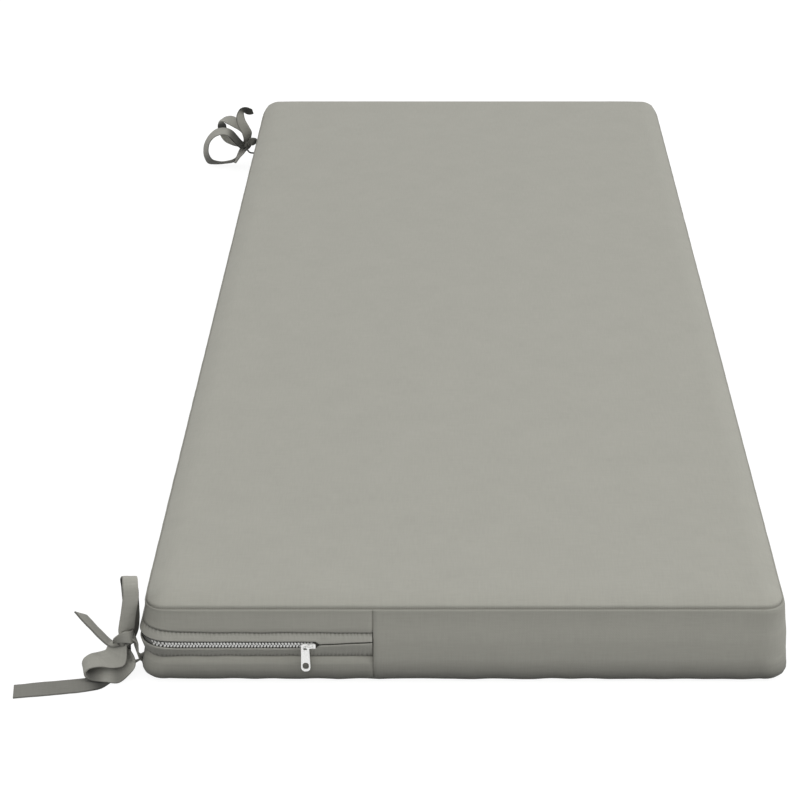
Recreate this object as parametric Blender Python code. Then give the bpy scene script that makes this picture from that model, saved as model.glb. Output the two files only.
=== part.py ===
"""Long bench cushion with a crowned top, sewn seams, a zip round its left end and two tied tapes.

Metres. The origin is at the middle of the underside, +Z is up, +Y runs along the cushion away from
its front end and +X points to its right side. Tables are in millimetres.
"""

import math

import bmesh
import bpy
from mathutils import Vector

MM = 0.001
SHARP_ANGLE = math.radians(38)

# ---- sizes of the cushion --------------------------------------------------------------------
# The sewn outline of the top seam; the sides swell about 6 mm beyond it.
HALF_WIDTH = 0.248
HALF_LENGTH = 0.598
CORNER_RADIUS = 0.0165
CORNER_STEPS = 7
SEAM_HEIGHT = 0.0670
ROLL_RISE = 0.0062
ROLL_WIDTH = 0.022
FILL_RISE = 0.0015
FLAT_INSET_MM = 6.5
EDGE_ROWS = (0.004, 0.010, 0.020, 0.030)
WIDTH_LINES = (-0.02, 0.06, 0.14)
LENGTH_LINES = (-0.48, -0.36, -0.24, -0.12, 0.0, 0.12, 0.24, 0.36, 0.48)

# ---- the zip panel runs round the left end, between two upright seams -----------------------------
PANEL_SEAM_X = -0.0707
SEAM_HALF = 0.0007
SEAM_DEPTH = 0.0009
END_GAP_MM = 0.7

# Boxing profile. up: height; plain: how far the plain cloth stands out from the sewn outline;
# zipped: the same where the zip panel lies, with the channel that holds its strips and chain;
# dip: how much higher or lower the zipped row runs once it has turned the front left corner.
BOXING = (
    # up, plain, zipped, dip
    (67.0, -0.7, -0.7, 0.0),
    (66.1, 0.2, 0.2, 0.0),
    (64.8, 0.6, 0.6, 0.4),
    (62.0, 1.0, 0.9, 1.0),
    (56.0, 2.0, 1.9, 2.0),
    (50.0, 3.1, 2.7, 2.9),
    (46.9, 3.7, 2.7, 3.2),
    (46.3, 3.8, -0.2, 3.2),
    (42.5, 4.5, 1.5, 2.1),
    (39.0, 4.9, 3.5, 0.9),
    (38.7, 4.9, 2.5, 0.8),
    (33.2, 5.3, 2.5, -0.3),
    (32.9, 5.3, 3.1, -0.4),
    (24.6, 5.6, 0.1, -1.4),
    (23.4, 5.7, 2.6, -1.4),
    (19.0, 5.8, 4.9, -0.9),
    (13.0, 5.7, 5.4, -0.3),
    (8.5, 5.1, 5.0, 0.0),
    (5.8, 4.1, 4.1, 0.0),
    (5.0, 2.6, 2.6, 0.0),
    (4.3, 2.8, 2.8, 0.0),
    (3.0, 2.0, 2.0, 0.0),
    (1.4, -0.3, -0.3, 0.0),
    (0.5, -3.0, -3.0, 0.0),
    (0.0, -6.5, -6.5, 0.0),
)
PANEL_TOP_MM = 66.1
PANEL_FOOT_MM = 5.0

# Sections of the zip parts. out: from the sewn outline; up: height; lift: 1 where the point follows
# the line in which the two strips meet beyond the slider, 0 where it stays; dip: as above.
UPPER_STRIP = (
    # out, up, lift, dip
    (2.2, 46.4, 0.0, 3.2),
    (4.2, 42.4, 0.2, 2.0),
    (5.5, 39.8, 0.8, 1.1),
    (5.6, 39.1, 1.0, 0.9),
    (5.1, 38.6, 1.0, 0.8),
    (4.1, 38.7, 1.0, 0.8),
    (3.9, 39.0, 0.0, 0.9),
    (0.5, 45.7, 0.0, 3.1),
)
LOWER_STRIP = (
    # out, up, lift, dip
    (2.4, 24.5, 0.0, -1.4),
    (4.2, 29.0, 0.2, -0.8),
    (5.5, 32.2, 0.8, -0.4),
    (5.6, 32.8, 1.0, -0.4),
    (5.2, 33.2, 1.0, -0.4),
    (4.1, 33.1, 1.0, -0.4),
    (3.6, 32.4, 0.0, -0.4),
    (0.75, 25.15, 0.0, -1.4),
)
CHAIN = (
    # out, up, lift, dip
    (2.85, 33.6, 0.0, -0.1),
    (4.2, 33.7, 0.0, -0.1),
    (5.1, 34.3, 0.0, 0.0),
    (5.25, 34.8, 0.0, 0.0),
    (5.25, 37.5, 0.0, 0.2),
    (5.1, 37.9, 0.0, 0.3),
    (4.2, 38.2, 0.0, 0.3),
    (2.85, 38.3, 0.0, 0.3),
)
# Share of the dip, by distance across from the upright seams.
DIP_SHARE = (
    # along, share
    (60.0, 0.0),
    (112.0, 0.12),
    (140.0, 0.4),
    (160.0, 0.75),
    (177.0, 1.0),
)

# Where the strips' folded edges run. along: distance from the upright seam on the front;
# upper, lower: shift of each folded edge.
CLOSING = (
    # along, upper, lower
    (0.0, -0.2, 4.8),
    (20.0, -1.3, 3.7),
    (36.0, -2.2, 2.8),
    (41.5, -2.4, 2.6),
    (44.4, 0.0, 0.0),
)
CHAIN_START_MM = 46.3

# ---- slider and pull, on the front face -------------------------------------------------------
# X, out and up ranges in millimetres
SLIDER_NECK = ((-124.3, -116.0), (5.65, 6.8), (34.4, 38.1))
SLIDER_PLATE = ((-125.3, -115.0), (6.4, 7.5), (34.2, 38.4))
SLIDER_TAPER = 0.78
BRIDGE_UP_MM = 37.0
BRIDGE_RADIUS_MM = 0.55
BRIDGE_ROUTE = (
    # X, out
    (-122.8, 7.0),
    (-122.8, 9.0),
    (-122.1, 10.1),
    (-120.4, 10.6),
    (-118.4, 10.2),
    (-117.4, 9.2),
    (-117.2, 7.0),
)
PULL_X_MM = -123.1
PULL_OUT = (7.9, 8.8)
PULL_UP = (14.3, 39.4)
PULL_WIDTHS = (7.5, 6.0)
PULL_ROUNDING = (0.0036, 0.0022)
SMALL_HOLE = (3.2, (33.9, 37.95), 0.0014)
LARGE_HOLE = (5.0, (16.4, 22.4), 0.00245)

# ---- ties -----------------------------------------------------------------------------------
TAPE_THICKNESS_MM = 1.4
TAPE_STEP_MM = 3.4
TAPE_SECTION = (
    # across, through: shares of half the width and half the thickness
    (-1.0, 0.0),
    (-0.92, 1.0),
    (0.92, 1.0),
    (1.0, 0.0),
    (0.92, -1.0),
    (-0.92, -1.0),
)
TIE_SIDE_X = -0.2502
NEAR_TIE_Y = -0.580
FAR_TIE_Y = 0.548
FLOOR_CLEARANCE = 0.0001

# Each strand of a bow, row by row. out: left of the side where it is sewn in; fore: towards the front
# from the place where the tie is sewn in; up: height; the last three are the vector across the tape.
NEAR_STRANDS = {
    "stem_upper": (
        # out, fore, up, across out, across fore, across up
        (4.4, -6.0, 6.4, 0.5, -16.5, -2.0),
        (6.2, -1.0, 10.0, 2.5, -15.5, -6.0),
        (7.6, 1.5, 17.0, 3.5, -16.2, -2.0),
        (7.6, 3.0, 26.0, 3.5, -15.5, 1.0),
        (8.0, 4.0, 32.0, 3.5, -13.5, 3.0),
        (11.0, 5.5, 33.5, 2.5, -10.0, 2.0),
    ),
    "stem_lower": (
        (3.1, -6.0, 3.2, 0.5, -16.5, -1.5),
        (5.5, -1.0, 7.0, 3.0, -13.5, -9.0),
        (9.0, 3.0, 7.8, 3.0, -13.0, -10.5),
        (12.5, 6.0, 10.0, 2.5, -11.5, -12.5),
    ),
    "knot_wrap": (
        (9.0, 4.5, 33.0, 0.5, 0.5, -12.0),
        (9.5, 9.5, 34.5, -0.5, 1.0, -11.5),
        (13.5, 12.5, 36.5, -0.5, -0.5, -11.0),
        (19.0, 11.5, 34.5, 0.0, -4.5, -10.0),
        (23.5, 7.0, 29.5, 0.0, -6.5, -8.0),
        (25.5, 2.0, 23.5, 0.5, -6.0, -7.0),
    ),
    "upper_loop": (
        (15.0, 5.0, 27.5, -5.5, -12.0, -7.0),
        (13.5, 8.0, 39.5, -9.5, -12.5, -6.5),
        (11.0, 10.5, 53.0, -9.5, -12.0, -7.5),
        (7.0, 14.5, 72.5, -9.5, -12.5, -7.0),
        (6.0, 16.0, 85.5, -9.5, -12.5, -6.5),
        (6.5, 12.0, 91.0, -9.0, -12.5, -7.5),
        (8.5, 7.5, 86.5, -10.0, -12.0, -7.5),
        (8.5, 4.5, 76.5, -11.0, -11.0, -7.0),
        (9.0, 2.5, 62.5, -10.5, -11.5, -7.0),
        (9.8, 1.0, 47.0, -10.5, -11.5, -7.5),
        (11.0, 2.0, 36.5, -9.5, -11.5, -7.5),
        (13.5, 3.5, 27.0, -6.5, -11.5, -7.5),
    ),
    "lower_loop": (
        (20.0, 4.0, 28.5, -11.0, 8.0, 5.0),
        (21.5, 7.0, 23.5, -16.0, 5.5, 0.0),
        (23.5, 10.5, 16.5, -16.0, 10.0, -7.5),
        (30.5, 12.0, 15.0, -13.0, 8.5, -9.5),
        (39.5, 12.0, 14.5, -9.0, 14.5, -2.0),
        (46.5, 13.0, 11.5, -6.0, 16.0, 1.0),
        (48.0, 14.5, 7.0, -4.5, 16.5, 1.5),
        (44.5, 15.8, 5.0, -4.0, 16.5, -2.0),
        (37.5, 16.3, 5.0, -3.5, 16.0, -4.0),
        (30.0, 16.3, 4.8, -1.5, 16.0, -4.5),
        (21.5, 16.0, 4.6, -4.0, 15.5, -6.0),
        (16.0, 12.0, 7.5, -8.0, 15.0, -2.5),
        (13.0, 8.0, 10.5, -10.5, 13.0, 0.0),
        (13.0, 6.0, 15.0, -10.0, 11.0, 3.0),
        (15.5, 4.0, 20.5, -7.5, 8.5, 3.0),
    ),
    "raised_tail": (
        (18.0, 4.0, 25.0, -2.0, -11.0, -3.0),
        (23.0, 2.5, 23.0, -2.0, -13.0, -4.0),
        (29.0, -2.0, 21.5, -1.5, -15.5, -6.5),
        (41.5, -14.5, 25.5, -4.5, -14.0, -9.0),
        (55.5, -29.0, 31.5, -7.5, -11.0, -10.5),
    ),
    "floor_tail": (
        (17.0, 2.0, 24.0, -10.0, -3.0, -1.0),
        (19.5, -2.0, 13.0, -12.0, -3.0, -3.0),
        (22.0, 0.5, 5.5, -12.0, 8.0, -0.5),
        (26.0, 7.0, 1.8, -12.0, 11.5, 0.0),
        (30.5, 15.0, 1.0, -9.0, 14.5, 0.2),
        (35.5, 22.5, 1.0, -6.0, 16.0, 0.2),
        (44.5, 26.0, 1.2, -3.5, 17.0, -0.4),
        (72.5, 30.5, 1.0, -2.0, 17.8, -0.4),
        (100.0, 35.0, 0.9, -2.5, 17.8, 0.0),
    ),
}
NEAR_KNOT = ((16.0, 4.5, 28.5), (6.5, 5.0, 6.5))

FAR_STRANDS = {
    "stem_upper": (
        # out, fore, up, across out, across fore, across up
        (4.4, -6.0, 6.4, 0.5, -16.5, -2.0),
        (7.2, -3.0, 16.0, 1.5, -14.0, -8.0),
        (7.4, -0.5, 28.0, 1.8, -13.5, -10.0),
        (8.0, 2.0, 33.0, 2.0, -12.5, -11.0),
        (11.5, 5.0, 33.5, 1.0, -6.0, -12.0),
        (17.0, 7.0, 34.0, 2.0, -5.0, -10.5),
    ),
    "stem_lower": (
        (3.7, -6.0, 3.2, 0.5, -16.5, -1.5),
        (6.0, -3.0, 10.0, 1.5, -16.0, -4.5),
        (9.8, -1.0, 15.5, 2.0, -16.0, -5.0),
        (16.5, 1.0, 17.5, 2.0, -16.0, -5.0),
        (20.0, 2.5, 22.5, 2.0, -12.0, -2.0),
    ),
    "raised_tail": (
        (19.0, 2.0, 30.0, -8.0, -11.0, -2.5),
        (18.5, 5.0, 39.0, -8.0, -14.5, -3.5),
        (19.0, 6.0, 46.5, -12.0, -11.0, -4.0),
        (22.0, 7.0, 54.0, -12.5, -10.5, -4.5),
        (25.5, 8.0, 64.0, -9.0, -14.0, -4.0),
        (25.5, 6.0, 71.0, -6.0, -15.0, -5.5),
        (23.5, 3.5, 74.0, -3.0, -13.0, -9.0),
        (20.0, 2.0, 73.5, -1.5, -11.0, -12.0),
        (15.5, 1.0, 72.5, -1.5, -10.0, -12.5),
        (10.5, 0.0, 71.5, -0.5, -10.0, -9.0),
    ),
    "great_loop": (
        (20.5, 3.5, 27.0, 1.5, 13.0, -1.5),
        (26.0, 6.0, 29.5, 1.5, 16.5, -2.5),
        (32.5, 8.0, 37.5, 1.0, 16.5, -4.5),
        (38.0, 9.0, 44.5, 1.0, 16.5, -4.0),
        (43.0, 9.0, 48.0, -1.0, 16.5, -3.5),
        (52.0, 8.0, 48.0, -2.5, 16.5, -3.0),
        (60.5, 6.0, 43.5, -3.5, 16.5, -2.0),
        (67.0, 5.0, 36.0, -5.0, 16.0, 0.5),
        (70.5, 4.0, 28.5, -7.0, 15.5, 3.0),
        (72.0, 3.5, 19.5, -7.5, 14.5, 5.5),
        (70.5, 3.5, 12.0, -8.0, 13.0, 7.5),
        (67.0, 3.5, 6.5, -7.5, 12.5, 9.0),
        (59.5, 5.0, 5.2, -8.0, 12.5, 8.0),
        (48.0, 4.5, 5.4, -5.5, 14.0, 8.0),
        (36.0, 2.5, 8.0, -4.0, 13.0, 10.0),
        (27.0, 2.0, 18.0, -2.0, 12.5, 11.5),
        (20.0, 3.0, 25.5, -1.0, 10.0, 9.0),
    ),
    "small_loop": (
        (21.0, 1.0, 33.0, -4.0, 9.5, -7.5),
        (21.5, -1.0, 40.0, -4.0, 11.5, -9.5),
        (29.0, -5.0, 51.5, -3.5, 9.0, -14.0),
        (37.5, -8.0, 55.5, -3.0, 13.0, -10.5),
        (44.5, -9.0, 56.5, -4.5, 16.0, -4.5),
        (50.0, -9.0, 56.5, -4.5, 16.5, 2.5),
        (53.0, -8.0, 55.5, -4.5, 15.5, 5.5),
        (51.5, -7.0, 52.5, -10.5, 12.0, 5.5),
        (50.5, -6.0, 46.5, -12.0, 11.0, 4.5),
        (48.0, -4.0, 38.5, -12.0, 11.5, 3.5),
        (43.5, -2.0, 32.0, -10.5, 12.5, 5.5),
        (35.0, 0.0, 28.0, -9.0, 13.0, 5.5),
        (24.5, 2.0, 27.0, -5.0, 10.0, 7.5),
    ),
    "hanging_tail": (
        (18.5, 3.0, 27.0, -6.0, 12.0, 1.5),
        (23.5, 7.0, 24.5, -8.5, 14.5, 2.0),
        (27.5, 10.0, 19.5, -7.5, 15.0, 3.5),
        (30.5, 12.0, 15.0, -6.0, 15.0, 5.0),
        (35.0, 14.5, 8.5, -4.0, 16.0, 5.0),
    ),
}
FAR_KNOT = ((19.5, 2.5, 29.0), (5.5, 5.0, 6.5))


# ---- small helpers ---------------------------------------------------------------------------
def clear_scene():
    for thing in list(bpy.data.objects):
        bpy.data.objects.remove(thing, do_unlink=True)


def linear(level):
    """One display colour level, 0 to 255, as the renderer's linear value."""
    share = level / 255.0
    if share <= 0.04045:
        return share / 12.92
    return ((share + 0.055) / 1.055) ** 2.4


def material(name, colour, roughness, metallic=0.0):
    made = bpy.data.materials.new(name)
    made.use_nodes = True
    shader = made.node_tree.nodes["Principled BSDF"]
    shader.inputs["Base Color"].default_value = (*[linear(level) for level in colour], 1.0)
    shader.inputs["Roughness"].default_value = roughness
    shader.inputs["Metallic"].default_value = metallic
    return made


def add_object(name, mesh_builder, look=None, smooth=False):
    """Puts a finished bmesh into the scene as one named object."""
    bmesh.ops.recalc_face_normals(mesh_builder, faces=mesh_builder.faces)
    mesh = bpy.data.meshes.new(name)
    mesh_builder.to_mesh(mesh)
    mesh_builder.free()
    thing = bpy.data.objects.new(name, mesh)
    bpy.context.collection.objects.link(thing)
    if look is not None:
        mesh.materials.append(look)
    if smooth:
        shade(mesh)
    return thing


def shade(mesh):
    """Smooth over gentle bends, crisp at folded edges."""
    for polygon in mesh.polygons:
        polygon.use_smooth = True
    mesh.set_sharp_from_angle(angle=SHARP_ANGLE)


def combine(target, helpers, operation):
    """Joins or cuts the target with each helper and removes the helpers."""
    for helper in helpers:
        step = target.modifiers.new(operation.lower(), "BOOLEAN")
        step.operation = operation
        step.solver = "EXACT"
        step.use_self = True
        step.object = helper
    bpy.context.view_layer.update()
    graph = bpy.context.evaluated_depsgraph_get()
    joined = bpy.data.meshes.new_from_object(target.evaluated_get(graph))
    target.modifiers.clear()
    target.data = joined
    for helper in helpers:
        bpy.data.objects.remove(helper, do_unlink=True)


def tidy_mesh(thing, merge):
    """Merges the slivers that a union leaves."""
    work = bmesh.new()
    work.from_mesh(thing.data)
    bmesh.ops.triangulate(work, faces=work.faces)
    bmesh.ops.dissolve_degenerate(work, dist=merge, edges=work.edges)
    bmesh.ops.triangulate(work, faces=work.faces)
    work.to_mesh(thing.data)
    work.free()


def between(low, high, share):
    return low + (high - low) * share


def smooth_step(share):
    held = min(max(share, 0.0), 1.0)
    return held * held * (3.0 - 2.0 * held)


def read_table(rows, at, column):
    """Straight-line reading of one column of a table whose first column rises or falls."""
    rising = rows[-1][0] > rows[0][0]
    ordered = rows if rising else rows[::-1]
    if at <= ordered[0][0]:
        return ordered[0][column]
    for low, high in zip(ordered, ordered[1:]):
        if at <= high[0]:
            return between(low[column], high[column], (at - low[0]) / (high[0] - low[0]))
    return ordered[-1][column]


def dip_share(x, y):
    """How far round the front left corner a place is: 0 on the front, 1 from the corner on."""
    if x > PANEL_SEAM_X:
        return 0.0
    if y > CORNER_RADIUS - HALF_LENGTH:
        back_end = PANEL_SEAM_X - x if y > HALF_LENGTH - CORNER_RADIUS else 1.0
        return read_table(DIP_SHARE, back_end / MM, 1)
    return read_table(DIP_SHARE, (PANEL_SEAM_X - x) / MM, 1)


def curve_through(rows, step):
    """Smooth rows through every given row, roughly one step apart along the first three columns."""
    chords = [max(math.dist(a[:3], b[:3]), 1e-6) for a, b in zip(rows, rows[1:])]
    spans = [math.sqrt(chord) for chord in chords]
    slopes = []
    for low, high, span in zip(rows, rows[1:], spans):
        slopes.append([(b - a) / span for a, b in zip(low, high)])
    tangents = [slopes[0]]
    for index in range(1, len(rows) - 1):
        before = spans[index - 1]
        after = spans[index]
        mixed = []
        for a, b in zip(slopes[index - 1], slopes[index]):
            mixed.append((a * after + b * before) / (before + after))
        tangents.append(mixed)
    tangents.append(slopes[-1])
    made = []
    for index, span in enumerate(spans):
        count = max(2, round(chords[index] / step))
        for part in range(count):
            made.append(hermite(rows, tangents, index, span, part / count))
    made.append(list(rows[-1]))
    return made


def hermite(rows, tangents, index, span, share):
    square = share * share
    cube = square * share
    start = 2 * cube - 3 * square + 1
    start_slope = (cube - 2 * square + share) * span
    end = 3 * square - 2 * cube
    end_slope = (cube - square) * span
    low, high = rows[index], rows[index + 1]
    low_slope, high_slope = tangents[index], tangents[index + 1]
    return [
        start * a + start_slope * s + end * b + end_slope * t
        for a, s, b, t in zip(low, low_slope, high, high_slope)
    ]


def long_bar(section, stations):
    """A closed bar whose rings lie at heights 0, 1, 2... and hold the section in X and Y."""
    bar = bmesh.new()
    ring = [bar.verts.new((row[0], row[1], 0.0)) for row in section]
    edges = [bar.edges.new((a, b)) for a, b in zip(ring, ring[1:] + ring[:1])]
    for _ in range(stations - 1):
        grown = bmesh.ops.extrude_edge_only(bar, edges=edges)["geom"]
        edges = [item for item in grown if isinstance(item, bmesh.types.BMEdge)]
        points = [item for item in grown if isinstance(item, bmesh.types.BMVert)]
        edges = [edge for edge in edges if all(point in points for point in edge.verts)]
        bmesh.ops.translate(bar, verts=points, vec=(0.0, 0.0, 1.0))
    bmesh.ops.holes_fill(bar, edges=[edge for edge in bar.edges if edge.is_boundary], sides=0)
    return bar


# ---- the filled cushion ------------------------------------------------------------------------
def outline(x, y):
    """Depth inside the sewn outline, and the outline's outward direction there."""
    past_x = abs(x) - (HALF_WIDTH - CORNER_RADIUS)
    past_y = abs(y) - (HALF_LENGTH - CORNER_RADIUS)
    side_x = math.copysign(1.0, x)
    side_y = math.copysign(1.0, y)
    if past_x > 0.0 and past_y > 0.0:
        reach = math.hypot(past_x, past_y)
        return CORNER_RADIUS - reach, side_x * past_x / reach, side_y * past_y / reach
    if past_x > past_y:
        return HALF_WIDTH - abs(x), side_x, 0.0
    return HALF_LENGTH - abs(y), 0.0, side_y


def crown(depth):
    """Rise of the top panel above its seam."""
    rolled = 1.0 - (1.0 - min(depth / ROLL_WIDTH, 1.0)) ** 2
    return ROLL_RISE * rolled + FILL_RISE * smooth_step(depth / HALF_WIDTH)


def boxing_out(x, up):
    """How far the side stands out from the sewn outline."""
    plain = read_table(BOXING, up, 1)
    zipped = read_table(BOXING, up, 2)
    if abs(x - PANEL_SEAM_X) < 0.5 * SEAM_HALF and PANEL_FOOT_MM < up < PANEL_TOP_MM + 0.1:
        return min(plain, zipped) * MM - SEAM_DEPTH
    if x < PANEL_SEAM_X:
        return zipped * MM
    return plain * MM


def place_cushion_point(point):
    x, y, z = point
    depth, aim_x, aim_y = outline(x, y)
    if z > SEAM_HEIGHT - 1e-6 and depth > 1e-6:
        moved = BOXING[0][1] * MM * max(0.0, 1.0 - depth / EDGE_ROWS[0])
        return Vector((x + aim_x * moved, y + aim_y * moved, z + crown(depth)))
    if z < 1e-6 and depth > 1e-6:
        inward = FLAT_INSET_MM * MM * max(0.0, 1.0 - depth / EDGE_ROWS[-1])
        return Vector((x - aim_x * inward, y - aim_y * inward, 0.0))
    moved = boxing_out(x, z / MM)
    dipped = read_table(BOXING, z / MM, 3) * dip_share(x, y) * MM
    return Vector((x + aim_x * moved, y + aim_y * moved, z + dipped))


def cut_lines():
    for row in BOXING[1:-1]:
        yield (0.0, 0.0, row[0] * MM), (0.0, 0.0, 1.0)
    across = list(WIDTH_LINES) + [PANEL_SEAM_X - SEAM_HALF, PANEL_SEAM_X, PANEL_SEAM_X + SEAM_HALF]
    across += [PANEL_SEAM_X - row[0] * MM for row in DIP_SHARE[:4]]
    along = list(LENGTH_LINES)
    for inset in EDGE_ROWS:
        across += [inset - HALF_WIDTH, HALF_WIDTH - inset]
        along += [inset - HALF_LENGTH, HALF_LENGTH - inset]
    for x in across:
        yield (x, 0.0, 0.0), (1.0, 0.0, 0.0)
    for y in along:
        yield (0.0, y, 0.0), (0.0, 1.0, 0.0)


def build_cushion(look):
    block = bmesh.new()
    bmesh.ops.create_cube(block, size=1.0)
    bmesh.ops.translate(block, verts=block.verts, vec=(0.0, 0.0, 0.5))
    bmesh.ops.scale(block, verts=block.verts, vec=(2 * HALF_WIDTH, 2 * HALF_LENGTH, SEAM_HEIGHT))
    upright = [e for e in block.edges if abs(e.verts[0].co.z - e.verts[1].co.z) > SEAM_HEIGHT / 2]
    bmesh.ops.bevel(
        block,
        geom=upright,
        offset=CORNER_RADIUS,
        offset_type="OFFSET",
        affect="EDGES",
        segments=CORNER_STEPS,
        profile=0.5,
        material=-1,
    )
    for place, direction in cut_lines():
        geometry = block.verts[:] + block.edges[:] + block.faces[:]
        bmesh.ops.bisect_plane(block, geom=geometry, plane_co=place, plane_no=direction)
    for vertex in block.verts:
        vertex.co = place_cushion_point(vertex.co)
    bmesh.ops.triangulate(block, faces=block.faces)
    return add_object("cushion", block, look, smooth=True)


# ---- the zip panel ------------------------------------------------------------------------------
FRONT_RUN_MM = (PANEL_SEAM_X + HALF_WIDTH - CORNER_RADIUS) / MM
CORNER_RUN_MM = math.pi / 2 * CORNER_RADIUS / MM
SIDE_RUN_MM = 2 * (HALF_LENGTH - CORNER_RADIUS) / MM
PANEL_RUN_MM = 2 * FRONT_RUN_MM + 2 * CORNER_RUN_MM + SIDE_RUN_MM


def boxing_path(along):
    """Point on the sewn outline and its outward direction, going from the front seam round the left end."""
    inner_x = -(HALF_WIDTH - CORNER_RADIUS)
    inner_y = HALF_LENGTH - CORNER_RADIUS
    if along <= FRONT_RUN_MM:
        return PANEL_SEAM_X - along * MM, -HALF_LENGTH, 0.0, -1.0
    along -= FRONT_RUN_MM
    if along <= CORNER_RUN_MM:
        turn = along / CORNER_RUN_MM * math.pi / 2
        aim_x, aim_y = -math.sin(turn), -math.cos(turn)
        return inner_x + CORNER_RADIUS * aim_x, -inner_y + CORNER_RADIUS * aim_y, aim_x, aim_y
    along -= CORNER_RUN_MM
    if along <= SIDE_RUN_MM:
        return -HALF_WIDTH, -inner_y + along * MM, -1.0, 0.0
    along -= SIDE_RUN_MM
    if along <= CORNER_RUN_MM:
        turn = along / CORNER_RUN_MM * math.pi / 2
        aim_x, aim_y = -math.cos(turn), math.sin(turn)
        return inner_x + CORNER_RADIUS * aim_x, inner_y + CORNER_RADIUS * aim_y, aim_x, aim_y
    along -= CORNER_RUN_MM
    return inner_x + along * MM, HALF_LENGTH, 0.0, 1.0


def panel_stations(start, end):
    """Distances along the panel: closely spaced in the corners and where the strips close."""
    first_corner = FRONT_RUN_MM
    second_corner = FRONT_RUN_MM + CORNER_RUN_MM + SIDE_RUN_MM
    marks = [row[0] for row in CLOSING] + [row[0] for row in DIP_SHARE if row[0] < first_corner]
    marks += [PANEL_RUN_MM - mark for mark in marks if mark > CLOSING[-1][0]]
    for step in range(CORNER_STEPS + 1):
        share = step / CORNER_STEPS
        marks.append(first_corner + share * CORNER_RUN_MM)
        marks.append(second_corner + share * CORNER_RUN_MM)
    for step in range(1, 10):
        marks.append(first_corner + CORNER_RUN_MM + step / 10 * SIDE_RUN_MM)
    inside = [mark for mark in marks if start + 1.0 < mark < end - 1.0]
    return [start] + sorted(inside) + [end]


def build_panel_part(name, section, start, end, closing_column, look):
    stations = panel_stations(start, end)
    bar = long_bar([(index, 0.0) for index in range(len(section))], len(stations))
    for vertex in bar.verts:
        row = section[round(vertex.co.x)]
        along = stations[round(vertex.co.z)]
        x, y, aim_x, aim_y = boxing_path(along)
        out = row[0] * MM
        up = row[1]
        if closing_column:
            up += row[2] * read_table(CLOSING, along, closing_column)
        up += row[3] * dip_share(x, y)
        vertex.co = Vector((x + aim_x * out, y + aim_y * out, up * MM))
    bmesh.ops.triangulate(bar, faces=bar.faces)
    return add_object(name, bar, look, smooth=True)


# ---- slider and pull ----------------------------------------------------------------------------
def front_point(x, out, up):
    """Millimetres on the front face to metres."""
    return Vector((x * MM, -HALF_LENGTH - out * MM, up * MM))


def front_block(name, ranges, round_over):
    (x_low, x_high), (out_low, out_high), (up_low, up_high) = ranges
    low = front_point(x_low, out_high, up_low)
    high = front_point(x_high, out_low, up_high)
    block = bmesh.new()
    bmesh.ops.create_cube(block, size=1.0)
    bmesh.ops.scale(block, verts=block.verts, vec=high - low)
    bmesh.ops.translate(block, verts=block.verts, vec=(high + low) / 2)
    if round_over > 0.0:
        bmesh.ops.bevel(
            block,
            geom=block.edges[:],
            offset=round_over,
            offset_type="OFFSET",
            affect="EDGES",
            segments=2,
            profile=0.5,
            material=-1,
        )
    return block


def build_slider(look):
    plate = front_block("zip_slider", SLIDER_PLATE, 0.0005)
    middle = (SLIDER_PLATE[2][0] + SLIDER_PLATE[2][1]) / 2 * MM
    right = SLIDER_PLATE[0][1] * MM
    length = (SLIDER_PLATE[0][1] - SLIDER_PLATE[0][0]) * MM
    for vertex in plate.verts:
        share = (right - vertex.co.x) / length
        narrowed = between(1.0, SLIDER_TAPER, smooth_step(1.6 * share - 0.6))
        vertex.co.z = middle + (vertex.co.z - middle) * narrowed
    slider = add_object("zip_slider", plate, look)
    neck = add_object("slider_neck", front_block("slider_neck", SLIDER_NECK, 0.0))
    route = curve_through([(x, out, 0.0) for x, out in BRIDGE_ROUTE], 0.7)
    sides = 8
    bar = long_bar([(side, 0.0) for side in range(sides)], len(route))
    for vertex in bar.verts:
        station = round(vertex.co.z)
        before = route[max(station - 1, 0)]
        after = route[min(station + 1, len(route) - 1)]
        run = Vector((after[0] - before[0], after[1] - before[1])).normalized()
        turn = 2 * math.pi * (round(vertex.co.x) + 0.5) / sides
        face_step = BRIDGE_RADIUS_MM * math.sin(turn)
        x = route[station][0] + run.y * face_step
        out = route[station][1] - run.x * face_step
        vertex.co = front_point(x, out, BRIDGE_UP_MM + BRIDGE_RADIUS_MM * math.cos(turn))
    bridge = add_object("slider_bridge", bar)
    combine(slider, [neck, bridge], "UNION")
    tidy_mesh(slider, 2e-6)
    return slider


def rounded_slot(name, width, up_range, corner):
    """A cutter for one hole of the pull."""
    half = width / 2
    ranges = ((PULL_X_MM - half, PULL_X_MM + half), (PULL_OUT[0] - 1, PULL_OUT[1] + 1), up_range)
    slot = front_block(name, ranges, 0.0)
    through = [e for e in slot.edges if abs(e.verts[0].co.y - e.verts[1].co.y) > corner]
    bmesh.ops.bevel(
        slot,
        geom=through,
        offset=corner,
        offset_type="OFFSET",
        affect="EDGES",
        segments=5,
        profile=0.5,
        material=-1,
    )
    return add_object(name, slot)


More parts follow.
